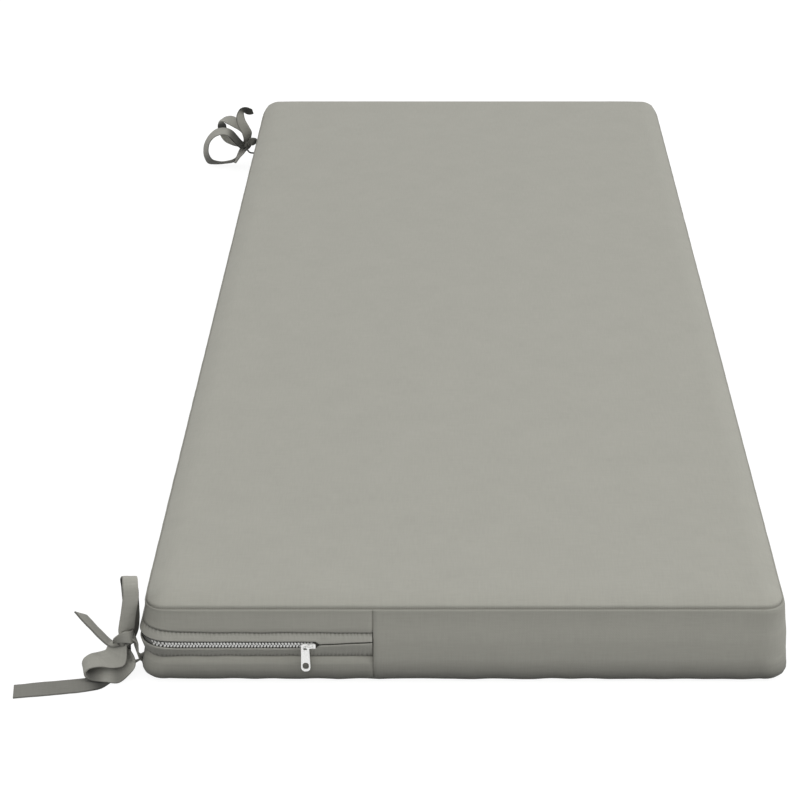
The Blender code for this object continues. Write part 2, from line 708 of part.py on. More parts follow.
def build_pull(look):
    half = PULL_WIDTHS[0] / 2
    ranges = ((PULL_X_MM - half, PULL_X_MM + half), PULL_OUT, PULL_UP)
    tag = front_block("zip_pull", ranges, 0.0)
    middle = PULL_X_MM * MM
    for vertex in tag.verts:
        share = (vertex.co.z / MM - PULL_UP[0]) / (PULL_UP[1] - PULL_UP[0])
        width = between(PULL_WIDTHS[0], PULL_WIDTHS[1], share) / PULL_WIDTHS[0]
        vertex.co.x = middle + (vertex.co.x - middle) * width
    thickness = (PULL_OUT[1] - PULL_OUT[0]) * MM
    corners = [e for e in tag.edges if abs(abs(e.verts[0].co.y - e.verts[1].co.y) - thickness) < 1e-6]
    halfway = (PULL_UP[0] + PULL_UP[1]) / 2 * MM
    low_corners = [edge for edge in corners if edge.verts[0].co.z < halfway]
    high_corners = [edge for edge in corners if edge.verts[0].co.z > halfway]
    for edges, rounding in zip((low_corners, high_corners), PULL_ROUNDING):
        bmesh.ops.bevel(
            tag,
            geom=edges,
            offset=rounding,
            offset_type="OFFSET",
            affect="EDGES",
            segments=6,
            profile=0.5,
            material=-1,
        )
    pull = add_object("zip_pull", tag, look)
    small = rounded_slot("small_hole", *SMALL_HOLE)
    large = rounded_slot("large_hole", *LARGE_HOLE)
    combine(pull, [small, large], "DIFFERENCE")
    tidy_mesh(pull, 2e-6)
    return pull


# ---- ties -------------------------------------------------------------------------------------
def tie_point(seam_y, out, fore, up):
    """Millimetres beside the left side to metres."""
    return Vector((TIE_SIDE_X - out * MM, seam_y - fore * MM, up * MM))


def build_strand(name, rows, seam_y):
    """One flat tape swept through its rows."""
    stations = curve_through(rows, TAPE_STEP_MM)
    centres = [tie_point(seam_y, *row[:3]) for row in stations]
    crossings = [Vector((-row[3], -row[4], row[5])) * MM for row in stations]
    bar = long_bar([(index, 0.0) for index in range(len(TAPE_SECTION))], len(stations))
    last = len(stations) - 1
    for vertex in bar.verts:
        across, through = TAPE_SECTION[round(vertex.co.x)]
        station = round(vertex.co.z)
        run = centres[min(station + 1, last)] - centres[max(station - 1, 0)]
        facing = run.cross(crossings[station]).normalized()
        place = centres[station] + crossings[station] * (across / 2)
        place += facing * (through * TAPE_THICKNESS_MM / 2 * MM)
        vertex.co = place
    bmesh.ops.triangulate(bar, faces=bar.faces)
    return add_object(name, bar)


def knot_core(name, knot, seam_y):
    """The bunched cloth inside a knot."""
    centre, radii = knot
    lump = bmesh.new()
    bmesh.ops.create_icosphere(lump, subdivisions=2, radius=1.0)
    bmesh.ops.scale(lump, verts=lump.verts, vec=[radius * MM for radius in radii])
    bmesh.ops.translate(lump, verts=lump.verts, vec=tie_point(seam_y, *centre))
    return add_object(name, lump)


def build_tie(name, strands, knot, seam_y, look):
    tie = knot_core(name, knot, seam_y)
    parts = [build_strand(key, rows, seam_y) for key, rows in strands.items()]
    combine(tie, parts, "UNION")
    tidy_mesh(tie, 1e-5)
    for vertex in tie.data.vertices:
        vertex.co.z = max(vertex.co.z, FLOOR_CLEARANCE)
    tie.data.materials.clear()
    tie.data.materials.append(look)
    for polygon in tie.data.polygons:
        polygon.material_index = 0
    shade(tie.data)
    return tie


def build_all():
    clear_scene()
    cloth = material("cushion_cloth", (162, 161, 153), 0.92)
    strip_cloth = material("zip_strip_cloth", (158, 157, 149), 0.92)
    chain_look = material("zip_teeth", (186, 186, 182), 0.55)
    metal = material("zip_metal", (214, 214, 212), 0.35, 0.6)
    tie_cloth = material("tie_cloth", (157, 156, 148), 0.92)
    panel_end = PANEL_RUN_MM - END_GAP_MM
    build_cushion(cloth)
    build_panel_part("zip_strip_upper", UPPER_STRIP, END_GAP_MM, panel_end, 1, strip_cloth)
    build_panel_part("zip_strip_lower", LOWER_STRIP, END_GAP_MM, panel_end, 2, strip_cloth)
    build_panel_part("zip_chain", CHAIN, CHAIN_START_MM, panel_end, 0, chain_look)
    build_slider(metal)
    build_pull(metal)
    build_tie("tie_near", NEAR_STRANDS, NEAR_KNOT, NEAR_TIE_Y, tie_cloth)
    build_tie("tie_far", FAR_STRANDS, FAR_KNOT, FAR_TIE_Y, tie_cloth)


build_all()
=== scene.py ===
"""Looks of a long bench cushion: woven cloth, sewn seams, a zip along its left side and two bows.

Metres. The origin is at the middle of the underside, +Z is up, +Y runs along the cushion away from
its front end and +X points to its right side. Tables are in millimetres.
"""

import math

import bmesh
import bpy
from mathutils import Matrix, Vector, noise


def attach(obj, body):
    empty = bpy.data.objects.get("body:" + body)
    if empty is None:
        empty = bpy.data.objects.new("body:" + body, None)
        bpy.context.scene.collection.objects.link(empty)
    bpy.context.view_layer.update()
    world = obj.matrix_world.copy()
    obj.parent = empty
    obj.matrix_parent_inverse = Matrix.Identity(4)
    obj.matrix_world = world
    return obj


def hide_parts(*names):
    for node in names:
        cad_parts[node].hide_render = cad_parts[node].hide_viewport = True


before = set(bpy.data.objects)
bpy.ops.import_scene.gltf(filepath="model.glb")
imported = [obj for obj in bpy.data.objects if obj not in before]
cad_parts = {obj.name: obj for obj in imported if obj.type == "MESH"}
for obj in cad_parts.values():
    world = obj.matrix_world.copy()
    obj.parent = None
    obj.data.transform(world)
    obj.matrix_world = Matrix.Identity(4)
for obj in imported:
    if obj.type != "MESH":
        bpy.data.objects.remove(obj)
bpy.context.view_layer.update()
MM = 0.001

# ---- camera and light ----
CAMERA_PLACE = (-0.0085, -1.9592, 0.9375)
CAMERA_LOOKS_DOWN = math.radians(26.916)
CAMERA_LENS_MM = 94.01
CAMERA_SENSOR_MM = 36.0
CAMERA_SHIFT_X = -0.0667
FLOOR_SIZE = 24.0
FLOOR_HEIGHT = -0.0002
FLOOR_PAINT = 0.20
FLOOR_LIGHT = 0.9
SKY_STRENGTH = 0.84
WHITE = (1.0, 1.0, 1.0, 1.0)
SKY_BELOW_HORIZON = 0.12
HORIZON_BAND = (-0.12, 0.06)
SOFTBOXES = (
    # name, place, size, power in watts
    ("front_high", (-0.2, -2.6, 3.2), (2.5, 2.5), 12.0),
    ("right_low", (3.0, -1.4, 1.3), (1.6, 1.6), 24.0),
    ("back_right", (2.2, 1.0, 2.2), (2.2, 2.2), 5.0),
)

# ---- the filled cushion ----
HALF_WIDTH = 0.248
HALF_LENGTH = 0.598
CORNER_RADIUS = 0.0165
INNER_X = HALF_WIDTH - CORNER_RADIUS
INNER_Y = HALF_LENGTH - CORNER_RADIUS
QUARTER = HALF_WIDTH + HALF_LENGTH - 2 * CORNER_RADIUS + math.pi / 2 * CORNER_RADIUS
SEAM_HEIGHT = 0.0670
ROLL_RISE = 0.0062
ROLL_WIDTH = 0.022
FILL_RISE = 0.0015
WIDTH_STEP = 0.0034
LENGTH_STEP = 0.0046
HEIGHT_STEP_MM = 1.7
CORNER_COLUMNS = 8
NEARLY_ZERO = 1e-6

# The upright seam at the zip panel's end: place, half width, depth, reach and columns of points.
PANEL_SEAM_X = -0.0707
SEAM_HALF = 0.0009
SEAM_DEPTH = 0.0010
UPRIGHT_REACH_MM = (5.0, 64.8)
SEAM_COLUMNS_MM = (-0.91, -0.45, -0.02, 0.02, 0.45, 0.9)

# The top seam: a notch between the boxing and the panel's lip.
SEAM_NOTCH_MM = 1.0
NOTCH_SINK = 1.3
NOTCH_WIDTH = 0.0013
LIP_MM = 0.9

# Painted shade in the seams, above the zip strips and towards the floor, as shares of SEAM_SHADE.
SEAM_SHADE = 0.5
TOP_SEAM_SHADE = 0.7
TOP_SEAM_LINE = 0.0007
UPRIGHT_SHADE = 0.45
UPRIGHT_SHADE_FROM_MM = 4.0
# Painted shade above the upper zip strip round the front left corner: its share, its reach and the
# heights over which it fades.
CORNER_PAINTED_SHADE = 0.8
CORNER_PAINTED_SHADE_REACH = 0.07
CORNER_PAINTED_SHADE_MM = (46.0, 47.5)

# Soft waves of the filled top, and puckers of its rolled edge.
TOP_WAVES = (
    # height in millimetres, seed, size
    (0.2, 0, 0.13),
    (0.04, 2, 0.05),
)
CALM_EDGE = 0.05
ROLL_PUCKER_MM = 0.25
ROLL_PUCKER_SIZE = 0.011
ROLL_PUCKER_DEPTH = 0.004

# Waves of the boxing: broad dents, folds near the floor and small tucks under the top seam.
DENT_MM = 0.9
DENTS = (
    # share, seed, turn with height, size
    (0.6, 0, 0.8, 0.06),
    (0.14, 1, 1, 0.03),
)
DENTS_FROM_MM = 5.0
DENTS_HIGH_MM = 61.0
ZIPPED_CALM_MM = (22.0, 50.0)
ZIPPED_CALM = 0.25
LOW_FOLD_MM = 0.8
LOW_FOLD_TO_MM = 20.0
LOW_FOLD_SIZE = 0.021
TUCK_MM = 0.25
TUCK_FROM_MM = 54.0
TUCK_HIGH_MM = 13.0
TUCK_SIZE = 0.013

# The plain boxing is averaged over neighbouring heights, so that it bulges in one curve.
AVERAGED_MM = (12.0, 62.0)
AVERAGED_GAPS_MM = (-4.0, -2.0, 0.0, 2.0, 4.0)

# The lower edge's sag, and the uneven sewing of the zip panel's two long seams.
SAG_TO_MM = 14.0
SAG_STARTS_MM = 3.0
SAG_SHARE = 0.9
SAG_LEAST_MM = 0.1
SIDE_SAG_MM = 0.9
SIDE_SAG_SIZE = 0.030
UNEVEN_MM = ((22.0, 25.5), (44.0, 49.0))
UNEVEN_SEAM_MM = 0.45
UNEVEN_SEAM_SIZE = 0.016
FINE_SEAM_MM = 0.2
FINE_SEAM_SIZE = 0.005

# Boxing profile. up: height; plain: how far the plain cloth stands out from the sewn outline;
# zipped: the same where the zip panel lies, with the channel that holds its strips and chain;
# dip: how much higher or lower the zipped row runs once it has turned the front left corner.
BOXING = (
    # up, plain, zipped, dip
    (67, -0.7, -0.7, 0),
    (65.3, 0.25, 0.25, 0),
    (64.8, 0.6, 0.6, 0.4),
    (62, 1, 0.9, 1),
    (56, 2, 1.9, 2),
    (50, 3.1, 2.7, 2.9),
    (46.1, 3.7, 2.8, 3.2),
    (45.5, 3.8, -0.2, 3.2),
    (42.5, 4.5, 1.5, 2.1),
    (39, 4.9, 3.5, 0.9),
    (38.7, 4.9, 2.5, 0.8),
    (33.2, 5.3, 2.5, -0.3),
    (32.9, 5.3, 3.1, -0.4),
    (24.6, 5.6, 0.1, -1.4),
    (23.4, 5.7, 2.6, -1.4),
    (19, 5.8, 4.9, -0.9),
    (13, 5.7, 5.4, -0.3),
    (8.5, 5.1, 5, 0),
    (5.8, 4.1, 4.1, 0),
    (5, 2.6, 2.6, 0),
    (4.3, 2.8, 2.8, 0),
    (3, 2, 2, 0),
    (1.4, -0.3, -0.3, 0),
    (0.5, -3, -3, 0),
    (0, -6.5, -6.5, 0),
)

# Painted shadow of the pull on the front: X, height, half width and half height.
PULL_SHADOW_MM = (-122.6, 18.5, 3.0, 6.5)
PULL_SHADOW_STRENGTH = 0.75

# How much the filling pushes the front corners out. up: height.
CORNER_FILL_MM = 3.2
CORNER_FILL = (
    # up, share
    (0, 0.3),
    (4, 0.9),
    (9, 1),
    (14, 0.6),
    (22, 0),
)

# How far the near corners draw in at each height. up: height; right and left corner.
CORNER_SLACK = (
    # up, right, left
    (0, 0.8, 1.2),
    (9, 0.9, 1.5),
    (14, 1.2, 2),
    (23.4, 1.3, 2),
    (24.6, 1.3, 0),
    (46.1, 1.2, 0),
    (47.6, 1, 1.7),
    (55, 0.2, 1.7),
    (62, -0.6, 1.2),
    (66, 0, 0.3),
    (67, 0, 0),
)
CORNER_SLACK_REACH = 0.06
FAR_CORNER_IN_MM = 6.0
FAR_CORNER_REACH = 0.05
FAR_CORNER_PANEL = 0.02

# Painted shade of the cloth at each height: darker towards the floor, in the zip channel and under
# the top seam. up: height; plain and zipped side.
PAINTED_SHADE_LEVELS = (
    # up, plain, zipped
    (0, 1.3, 1.3),
    (3, 1.1, 1.1),
    (4.3, 1.15, 1.15),
    (5, 1.3, 1.3),
    (5.8, 1.2, 1.2),
    (8.5, 1, 1),
    (13, 0.62, 0.62),
    (19, 0.3, 0.3),
    (23.4, 0.08, 0.08),
    (24.6, 0.06, 1.2),
    (32.9, 0, 1.4),
    (45.5, 0, 1.2),
    (46.1, 0, 0.2),
    (50, 0, 0),
    (65.3, 0.15, 0.15),
    (67, 0.35, 0.35),
)

# Where the lower edge sags a little between its puckers. x: place on the front edge; drop: how far.
LOWER_EDGE_WAVES = (
    # x, drop
    (-255, -0.5), (-204, 0.4), (-183, -0.5), (-163, 0.5), (-149, -0.6), (-127, 0.5),
    (-114, -0.5), (-99, 0.8), (-82, -0.6), (-66, 0.7), (-33, -0.7), (-15, 0.6),
    (8, 0.5), (21, -0.1), (32, 0.4), (56, 0.7), (69, -0.7), (84, 0.6),
    (99, -0.5), (112, 0.5), (134, 0.6), (163, 0.5), (218, 0.8), (255, -0.5),
)

# ---- the zip panel ----
# Sections of the zip parts. out: from the sewn outline; up: height; lift: 1 where the point follows
# the line in which the two strips meet beyond the slider, 0 where it stays; dip: as above.
UPPER_STRIP = (
    # out, up, lift, dip
    (2.2, 45.6, 0, 3.2),
    (4.2, 42.4, 0.2, 2),
    (5.5, 40.3, 0.8, 1.1),
    (5.6, 39.7, 1, 0.9),
    (5.1, 39.2, 1, 0.8),
    (4.1, 38.7, 1, 0.8),
    (3.9, 39, 0, 0.9),
    (0.5, 44.9, 0, 3.1),
)
LOWER_STRIP = (
    # out, up, lift, dip
    (2.4, 24.5, 0, -1.4),
    (4.2, 29, 0.2, -0.8),
    (5.5, 32.2, 0.8, -0.4),
    (5.6, 32.8, 1, -0.4),
    (5.2, 33.2, 1, -0.4),
    (4.1, 33.1, 1, -0.4),
    (3.6, 32.4, 0, -0.4),
    (0.75, 25.15, 0, -1.4),
)

# Share of the dip, by distance from the upright seams.
DIP_SHARE = (
    # along, share
    (112, 0),
    (140, 0.1),
    (150, 0.2),
    (160, 0.5),
    (170, 0.85),
    (177, 1),
)

# Where the strips' folded edges run. along: distance from the upright seam on the front;
# upper, lower: shift of each folded edge.
CLOSING = (
    # along, upper, lower
    (0, -0.2, 4.8),
    (20, -1.3, 3.7),
    (36, -2.2, 2.8),
    (41.5, -2.4, 2.6),
    (44.4, 0, 0),
    (152, 0, 0),
    (166, 0.2, 1.3),
    (180, 0.5, 1.9),
    (220, 0.2, 1.2),
    (280, 0, 0),
)
END_GAP_MM = 0.5

# The strips: rounding of their bends, puckers along the sewn edge, and painted shade in those
# puckers and round the corner.
BEND_CUTS = (-0.25, 0.25)
STRIP_STEP_MM = 1.0
STRIP_PUCKER_MM = 0.45
PUCKER_PITCH_MM = 3.0
PUCKER_DRIFT = 3.0
PUCKER_DRIFT_MM = 8.0
STRIP_WAVE_MM = 0.25
STRIP_WAVE_SIZE_MM = 14.0
SEWN_EDGE = 0.72
SEWN_SHADE = 2.0
SEWN_SHADE_WAVE = 1.9
CORNER_SHADE = 0.45
CORNER_SHADE_MM = (125.0, 170.0, 200.0, 240.0)

# The zip: its tape's section, and one tooth's size, rounding, rows and places.
CHAIN_START_MM = 46.3
ZIP_TAPE_STEP_MM = 3.0
ZIP_TAPE_ROWS = (
    # out, up
    (2.85, 33.6),
    (3.6, 33.7),
    (3.6, 38.2),
    (2.85, 38.3),
)
# Painted shade on the zip tape between the teeth, deeper round the front left corner.
ZIP_TAPE_SHADE = 0.7
ZIP_TAPE_SHADE_MM = (170.0, 184.0, 200.0, 225.0)
TOOTH_SIZE_MM = (1.7, 1.6, 2.15)
TOOTH_ROUND_MM = 0.42
TOOTH_PITCH_MM = 2.5
FIRST_TOOTH_MM = 1.2
LAST_TOOTH_MM = 2.0
TOOTH_ROWS = (
    # up, shift along in pitches, lean
    (37.05, 0, 0.3),
    (35, 0.5, -0.25),
)
TOOTH_OUT_MM = 4.55
TEETH_HIDDEN = (
    # place along the panel, how far the teeth sit back between the strips
    (150, 0),
    (162, 0.5),
    (168, 1.1),
    (175, 2.8),
    (180, 3.2),
    (194, 3.2),
    (212, 0),
)

# ---- ties ----
TAPE_THICKNESS_MM = 1.4
TAPE_WIDTH_MM = 17.0
TAPE_STEP_MM = 1.6

# The tape's section, from edge to edge: shares of its half width, and of its half thickness there.
TAPE_ACROSS = (-1.0, -0.985, -0.95, -0.84, -0.6, -0.3, 0.0, 0.3, 0.6, 0.84, 0.95, 0.985, 1.0)
TAPE_THROUGH = (0.0, 0.7, 1.0, 0.88, 0.96, 1.0, 1.0, 1.0, 0.96, 0.88, 1.0, 0.7, 0.0)

# Creases of the tape, painted shade along its edges and in the knot, and lumps of the knot.
TAPE_CREASE_MM = 0.30
TAPE_CREASE_SIZE = 0.009
TAPE_EDGE = 0.98
TAPE_EDGE_SHADE = 0.4
UNDER_EDGE = 0.9
DEEPEST_PAINTED_SHADE = 1.8
KNOT_LUMP_SHARE = 0.12
KNOT_LUMP_SIZE = 2.2
KNOT_SHADE = (0.4, 1.1, 1.7)
KNOT_SHADE_WAVE = 2.0

# Where the ties are sewn in.
TIE_SIDE_X = -0.2502
NEAR_TIE_Y = -0.580
FAR_TIE_Y = 0.548
FLOOR_CLEARANCE = 0.0001

# Each strand of a bow, row by row. out: left of the side; fore: towards the front from the place
# where the tie is sewn in; up: height; across: the vector across the tape; shade: painted shade of
# the row, for the bow's hollows and the shadows its loops and the cushion cast, 0 on its lit faces
# and below 0 a painted highlight.
NEAR_STRANDS = {
    "stem_upper": (
        # out, fore, up, across out, across fore, across up, shade
        (4.4, -6, 6.4, 0.5, -16.5, -2, 0.5),
        (6.2, -1, 10, 2.5, -15.5, -6, 0.1),
        (7.6, 1.5, 17, 5, -15.5, -2, -0.2),
        (7.6, 3, 26, 5.2, -14.8, 1, -0.2),
        (8, 4, 32, 5, -13, 3, -0.2),
        (11, 5.5, 33.5, 2.5, -10, 2, 0.5),
    ),
    "stem_lower": (
        (3.1, -6, 3.2, 0.5, -16.5, -1.5, 0.9),
        (5.5, -1, 7, 3, -13.5, -9, 0.3),
        (9, 3, 7.8, 3, -13, -10.5, 0),
        (12.5, 6, 10, 2.5, -11.5, -12.5, 0.5),
    ),
    "knot_wrap": (
        (9, 4.5, 33, 0.5, 0.5, -12, 0.8),
        (9.5, 9.5, 34.5, -0.5, 1, -11.5, -0.1),
        (13.5, 12.5, 36.5, -0.5, -0.5, -11, -0.2),
        (19, 11.5, 34.5, 0, -4.5, -10, -0.2),
        (23.5, 7, 29.5, 0, -6.5, -8, 0.2),
        (25.5, 2, 23.5, 0.5, -6, -7, 1.4),
    ),
    "upper_loop": (
        (15, 5, 27.5, -5.5, -12, -7, 0.2),
        (13.5, 8, 39.5, -9.5, -12.5, -6.5, -0.5),
        (11, 10.5, 53, -9.5, -12, -7.5, -0.5),
        (7, 14.5, 72.5, -9.5, -12.5, -7, -0.4),
        (6, 16, 85.5, -9.5, -12.5, -6.5, -0.3),
        (6.5, 12, 91, -9, -12.5, -7.5, -0.1),
        (8.5, 7.5, 86.5, -10, -12, -7.5, 1.2),
        (8.5, 4.5, 76.5, -11, -11, -7, 1.4),
        (9, 2.5, 62.5, -10.5, -11.5, -7, 1.1),
        (9.8, 1, 47, -10.5, -11.5, -7.5, 1),
        (11, 2, 36.5, -9.5, -11.5, -7.5, 1.1),
        (13.5, 3.5, 27, -6.5, -11.5, -7.5, 1.3),
    ),
    "lower_loop": (
        (20, 4, 28.5, -11, 8, 5, 0.1),
        (21.5, 7, 23.5, -16, 5.5, 0, 0),
        (23.5, 10.5, 16.5, -16, 10, -7.5, 0),
        (30.5, 12, 15, -13, 8.5, -9.5, 0),
        (39.5, 12, 14.5, -9, 14.5, -2, 0),
        (46.5, 13, 11.5, -6, 16, 1, 0.1),
        (48, 14.5, 7, -4.5, 16.5, 1.5, 0.4),
        (44.5, 15.8, 5, -4, 16.5, -2, 1.2),
        (37.5, 16.3, 5, -3.5, 16, -4, 0.9),
        (30, 16.3, 4.8, -1.5, 16, -4.5, 0.2),
        (21.5, 16, 4.6, -4, 15.5, -6, 0.9),
        (16, 12, 7.5, -8, 15, -2.5, 0.5),
        (13, 8, 10.5, -10.5, 13, 0, -0.2),
        (13, 6, 15, -10, 11, 3, 0.2),
        (15.5, 4, 20.5, -7.5, 8.5, 3, 0.8),
    ),
    "raised_tail": (
        (18, 4, 25, -2, -11, -3, 0.2),
        (23, 2.5, 23, -2, -13, -4, 0),
        (29, -2, 21.5, -1.5, -15.5, -6.5, 0),
        (41.5, -14.5, 25.5, -4.5, -14, -9, 0),
        (55.5, -29, 31.5, -7.5, -11, -10.5, 0.1),
    ),
    "floor_tail": (
        (17, 2, 24, -10, -3, -1, 1.6),
        (19.5, -2, 13, -12, -3, -3, 1.6),
        (22, 0.5, 5.5, -12, 8, -0.5, 1.6),
        (26, 7, 1.8, -12, 11.5, 0, 1.5),
        (30.5, 15, 1, -9, 14.5, 0.2, 1.5),
        (35.5, 22.5, 1, -6, 16, 0.2, 1.7),
        (44.5, 26, 1.2, -3.5, 17, -0.4, 1),
        (72.5, 30.5, 1, -2, 17.8, -0.4, 0.85),
        (100, 35, 0.9, -2.5, 17.8, 0, 0.8),
    ),
}
NEAR_KNOT = ((16.0, 4.5, 28.5), (6.5, 5.0, 6.5))

FAR_STRANDS = {
    "stem_upper": (
        # out, fore, up, across out, across fore, across up, shade
        (4.4, -6, 6.4, 0.5, -16.5, -2, 0.4),
        (7.2, -3, 16, 1.5, -14, -8, 0.2),
        (7.4, -0.5, 28, 1.8, -13.5, -10, 1.2),
        (8, 2, 33, 2, -12.5, -11, 1.2),
        (11.5, 5, 33.5, 1, -6, -12, 0.2),
        (17, 7, 34, 2, -5, -10.5, 0.8),
    ),
    "stem_lower": (
        (3.7, -6, 3.2, 0.5, -16.5, -1.5, 0.6),
        (6, -3, 10, 1.5, -16, -4.5, 0.9),
        (9.8, -1, 15.5, 2, -16, -5, 1.4),
        (16.5, 1, 17.5, 2, -16, -5, 1.5),
        (20, 2.5, 22.5, 2, -12, -2, 1.5),
    ),
    "raised_tail": (
        (19, 2, 30, -8, -11, -2.5, 1),
        (18.5, 5, 39, -8, -14.5, -3.5, 0.1),
        (19, 6, 46.5, -12, -11, -4, -0.3),
        (22, 7, 54, -12.5, -10.5, -4.5, -0.3),
        (25.5, 8, 64, -9, -14, -4, -0.2),
        (25.5, 6, 71, -6, -15, -5.5, -0.1),
        (23.5, 3.5, 74, -3, -13, -9, 1.2),
        (20, 2, 73.5, -1.5, -11, -12, 1.7),
        (15.5, 1, 72.5, -1.5, -10, -12.5, 1.7),
        (10.5, 0, 71.5, -0.5, -10, -9, 1.7),
    ),
    "great_loop": (
        (20.5, 3.5, 27, 1.5, 13, -1.5, 1.7),
        (26, 6, 29.5, 1.5, 16.5, -2.5, 1.6),
        (32.5, 8, 37.5, 1, 16.5, -4.5, 1.3),
        (38, 9, 44.5, 1, 16.5, -4, 1.1),
        (43, 9, 48, -1, 16.5, -3.5, 0.1),
        (52, 8, 48, -2.5, 16.5, -3, 0),
        (60.5, 6, 43.5, -3.5, 16.5, -2, 0),
        (67, 5, 36, -5, 16, 0.5, 0),
        (70.5, 4, 28.5, -7, 15.5, 3, 0),
        (72, 3.5, 19.5, -7.5, 14.5, 5.5, 0.1),
        (70.5, 3.5, 12, -8, 13, 7.5, 0.6),
        (67, 3.5, 6.5, -7.5, 12.5, 9, 0.9),
        (59.5, 5, 5.2, -8, 12.5, 8, 0.6),
        (48, 4.5, 5.4, -5.5, 14, 8, 0.2),
        (36, 2.5, 8, -4, 13, 10, 0),
        (27, 2, 18, -2, 12.5, 11.5, 0),
        (20, 3, 25.5, -1, 10, 9, 0.9),
    ),
    "small_loop": (
        (21, 1, 33, -4, 9.5, -7.5, 0.9),
        (21.5, -1, 40, -4, 11.5, -9.5, 0.6),
        (29, -5, 51.5, -3.5, 9, -14, 0.1),
        (37.5, -8, 55.5, -3, 13, -10.5, 0),
        (44.5, -9, 56.5, -4.5, 16, -4.5, 0),
        (50, -9, 56.5, -4.5, 16.5, 2.5, 0),
        (53, -8, 55.5, -4.5, 15.5, 5.5, 0.3),
        (51.5, -7, 52.5, -10.5, 12, 5.5, 1.6),
        (50.5, -6, 46.5, -12, 11, 4.5, 1.5),
        (48, -4, 38.5, -12, 11.5, 3.5, -1.2),
        (43.5, -2, 32, -10.5, 12.5, 5.5, -1.2),
        (35, 0, 28, -9, 13, 5.5, 0.2),
        (24.5, 2, 27, -5, 10, 7.5, 1.4),
    ),
    "hanging_tail": (
        (18.5, 3, 27, -6, 12, 1.5, 1.7),
        (23.5, 7, 24.5, -8.5, 14.5, 2, 1.4),
        (27.5, 10, 19.5, -7.5, 15, 3.5, 0.2),
        (30.5, 12, 15, -6, 15, 5, 0),
        (35, 14.5, 8.5, -4, 16, 5, 0.1),
    ),
}
FAR_KNOT = ((19.5, 2.5, 29.0), (5.5, 5.0, 6.5))
# Painted shade along the two edges of a strand that lies over another one.
UNDER_EDGES = {"knot_wrap": (0.0, 1.2), "raised_tail": (0.7, 0.0)}

# ---- cloth and hard finishes ----
THREADS_PER_METRE = 1500.0
ZIP_TAPE_THREADS = 2400.0
CLOTH_RELIEF = 0.35
ZIP_RELIEF = 0.6
THREAD_RELIEF_DEPTH = 0.00022
SLUB_SCALES = (900.0, 60.0)
MOTTLE_SCALE = 26.0
COVER_TONES = ((166, 165, 156), (161, 160, 151))
STRIP_TONES = ((165, 164, 156), (158, 157, 149))
ZIP_TAPE_TONES = ((150, 150, 146), (130, 130, 126))
TEETH_TINT = (236, 236, 234)
METAL_TINT = (250, 250, 248)
PATCH_SCALE = 900.0
DARKER_PATCH = 0.93


# ---- small helpers ----
def linear(level):
    """One display colour level, 0 to 255, as the renderer's linear value."""
    share = level / 255.0
    if share <= 0.04045:
        return share / 12.92
    return ((share + 0.055) / 1.055) ** 2.4


def colour(red, green, blue):
    return (linear(red), linear(green), linear(blue), 1.0)


def between(low, high, share):
    return low + (high - low) * share


def smooth_step(share):
    held = min(max(share, 0.0), 1.0)
    return held * held * (3.0 - 2.0 * held)


def hump(at, places):
    """Rises from 0 to 1 between the first two places and falls back between the last two."""
    first, second, third, fourth = places
    rise = smooth_step((at - first) / (second - first))
    return rise * smooth_step((fourth - at) / (fourth - third))


def ripple(x, y, z, size):
    """Smooth irregular variation between about -1 and 1 with bumps of the given size."""
    return noise.noise(Vector((x / size, y / size, z / size)))


def read_table(rows, at, column):
    """Straight-line reading of one column of a table whose first column rises or falls."""
    rising = rows[-1][0] > rows[0][0]
    ordered = rows if rising else rows[::-1]
    if at <= ordered[0][0]:
        return ordered[0][column]
    for low, high in zip(ordered, ordered[1:]):
        if at <= high[0]:
            return between(low[column], high[column], (at - low[0]) / (high[0] - low[0]))
    return ordered[-1][column]


def dip_share(x, y):
    """How far round the front left corner a place is: 0 on the front, 1 from the corner on."""
    if x > PANEL_SEAM_X:
        return 0.0
    if y > -INNER_Y:
        back_end = PANEL_SEAM_X - x if y > INNER_Y else 1.0
        return read_table(DIP_SHARE, back_end / MM, 1)
    return read_table(DIP_SHARE, (PANEL_SEAM_X - x) / MM, 1)


def curve_through(rows, step):
    """Smooth rows through every given row, roughly one step apart along the first three columns."""
    chords = [max(math.dist(a[:3], b[:3]), NEARLY_ZERO) for a, b in zip(rows, rows[1:])]
    spans = [math.sqrt(chord) for chord in chords]
    slopes = []
    for low, high, span in zip(rows, rows[1:], spans):
        slopes.append([(b - a) / span for a, b in zip(low, high)])
    tangents = [slopes[0]]
    for index in range(1, len(rows) - 1):
        before, after = spans[index - 1], spans[index]
        pairs = zip(slopes[index - 1], slopes[index])
        tangents.append([(a * after + b * before) / (before + after) for a, b in pairs])
    tangents.append(slopes[-1])
    made = []
    for index, span in enumerate(spans):
        count = max(2, round(chords[index] / step))
        for part in range(count):
            made.append(hermite(rows, tangents, index, span, part / count))
    made.append(list(rows[-1]))
    return made


def hermite(rows, tangents, index, span, share):
    """One row on the smooth curve between two given rows."""
    square = share * share
    cube = square * share
    start = 2 * cube - 3 * square + 1
    start_slope = (cube - 2 * square + share) * span
    end = 3 * square - 2 * cube
    end_slope = (cube - square) * span
    four = zip(rows[index], tangents[index], rows[index + 1], tangents[index + 1])
    return [start * a + start_slope * s + end * b + end_slope * t for a, s, b, t in four]


def link_object(name, data):
    made = bpy.data.objects.new(name, data)
    bpy.context.collection.objects.link(made)
    return made


def link_shape(name, shape, looks):
    mesh = bpy.data.meshes.new(name)
    shape.to_mesh(mesh)
    shape.free()
    for look in looks:
        mesh.materials.append(look)
    return link_object(name, mesh)


def add_piece(name, shape, looks):
    """Puts a finished shape into the scene as one piece of the cushion."""
    piece = link_shape(name, shape, looks)
    for polygon in piece.data.polygons:
        polygon.use_smooth = True
    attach(piece, "root")
    return piece


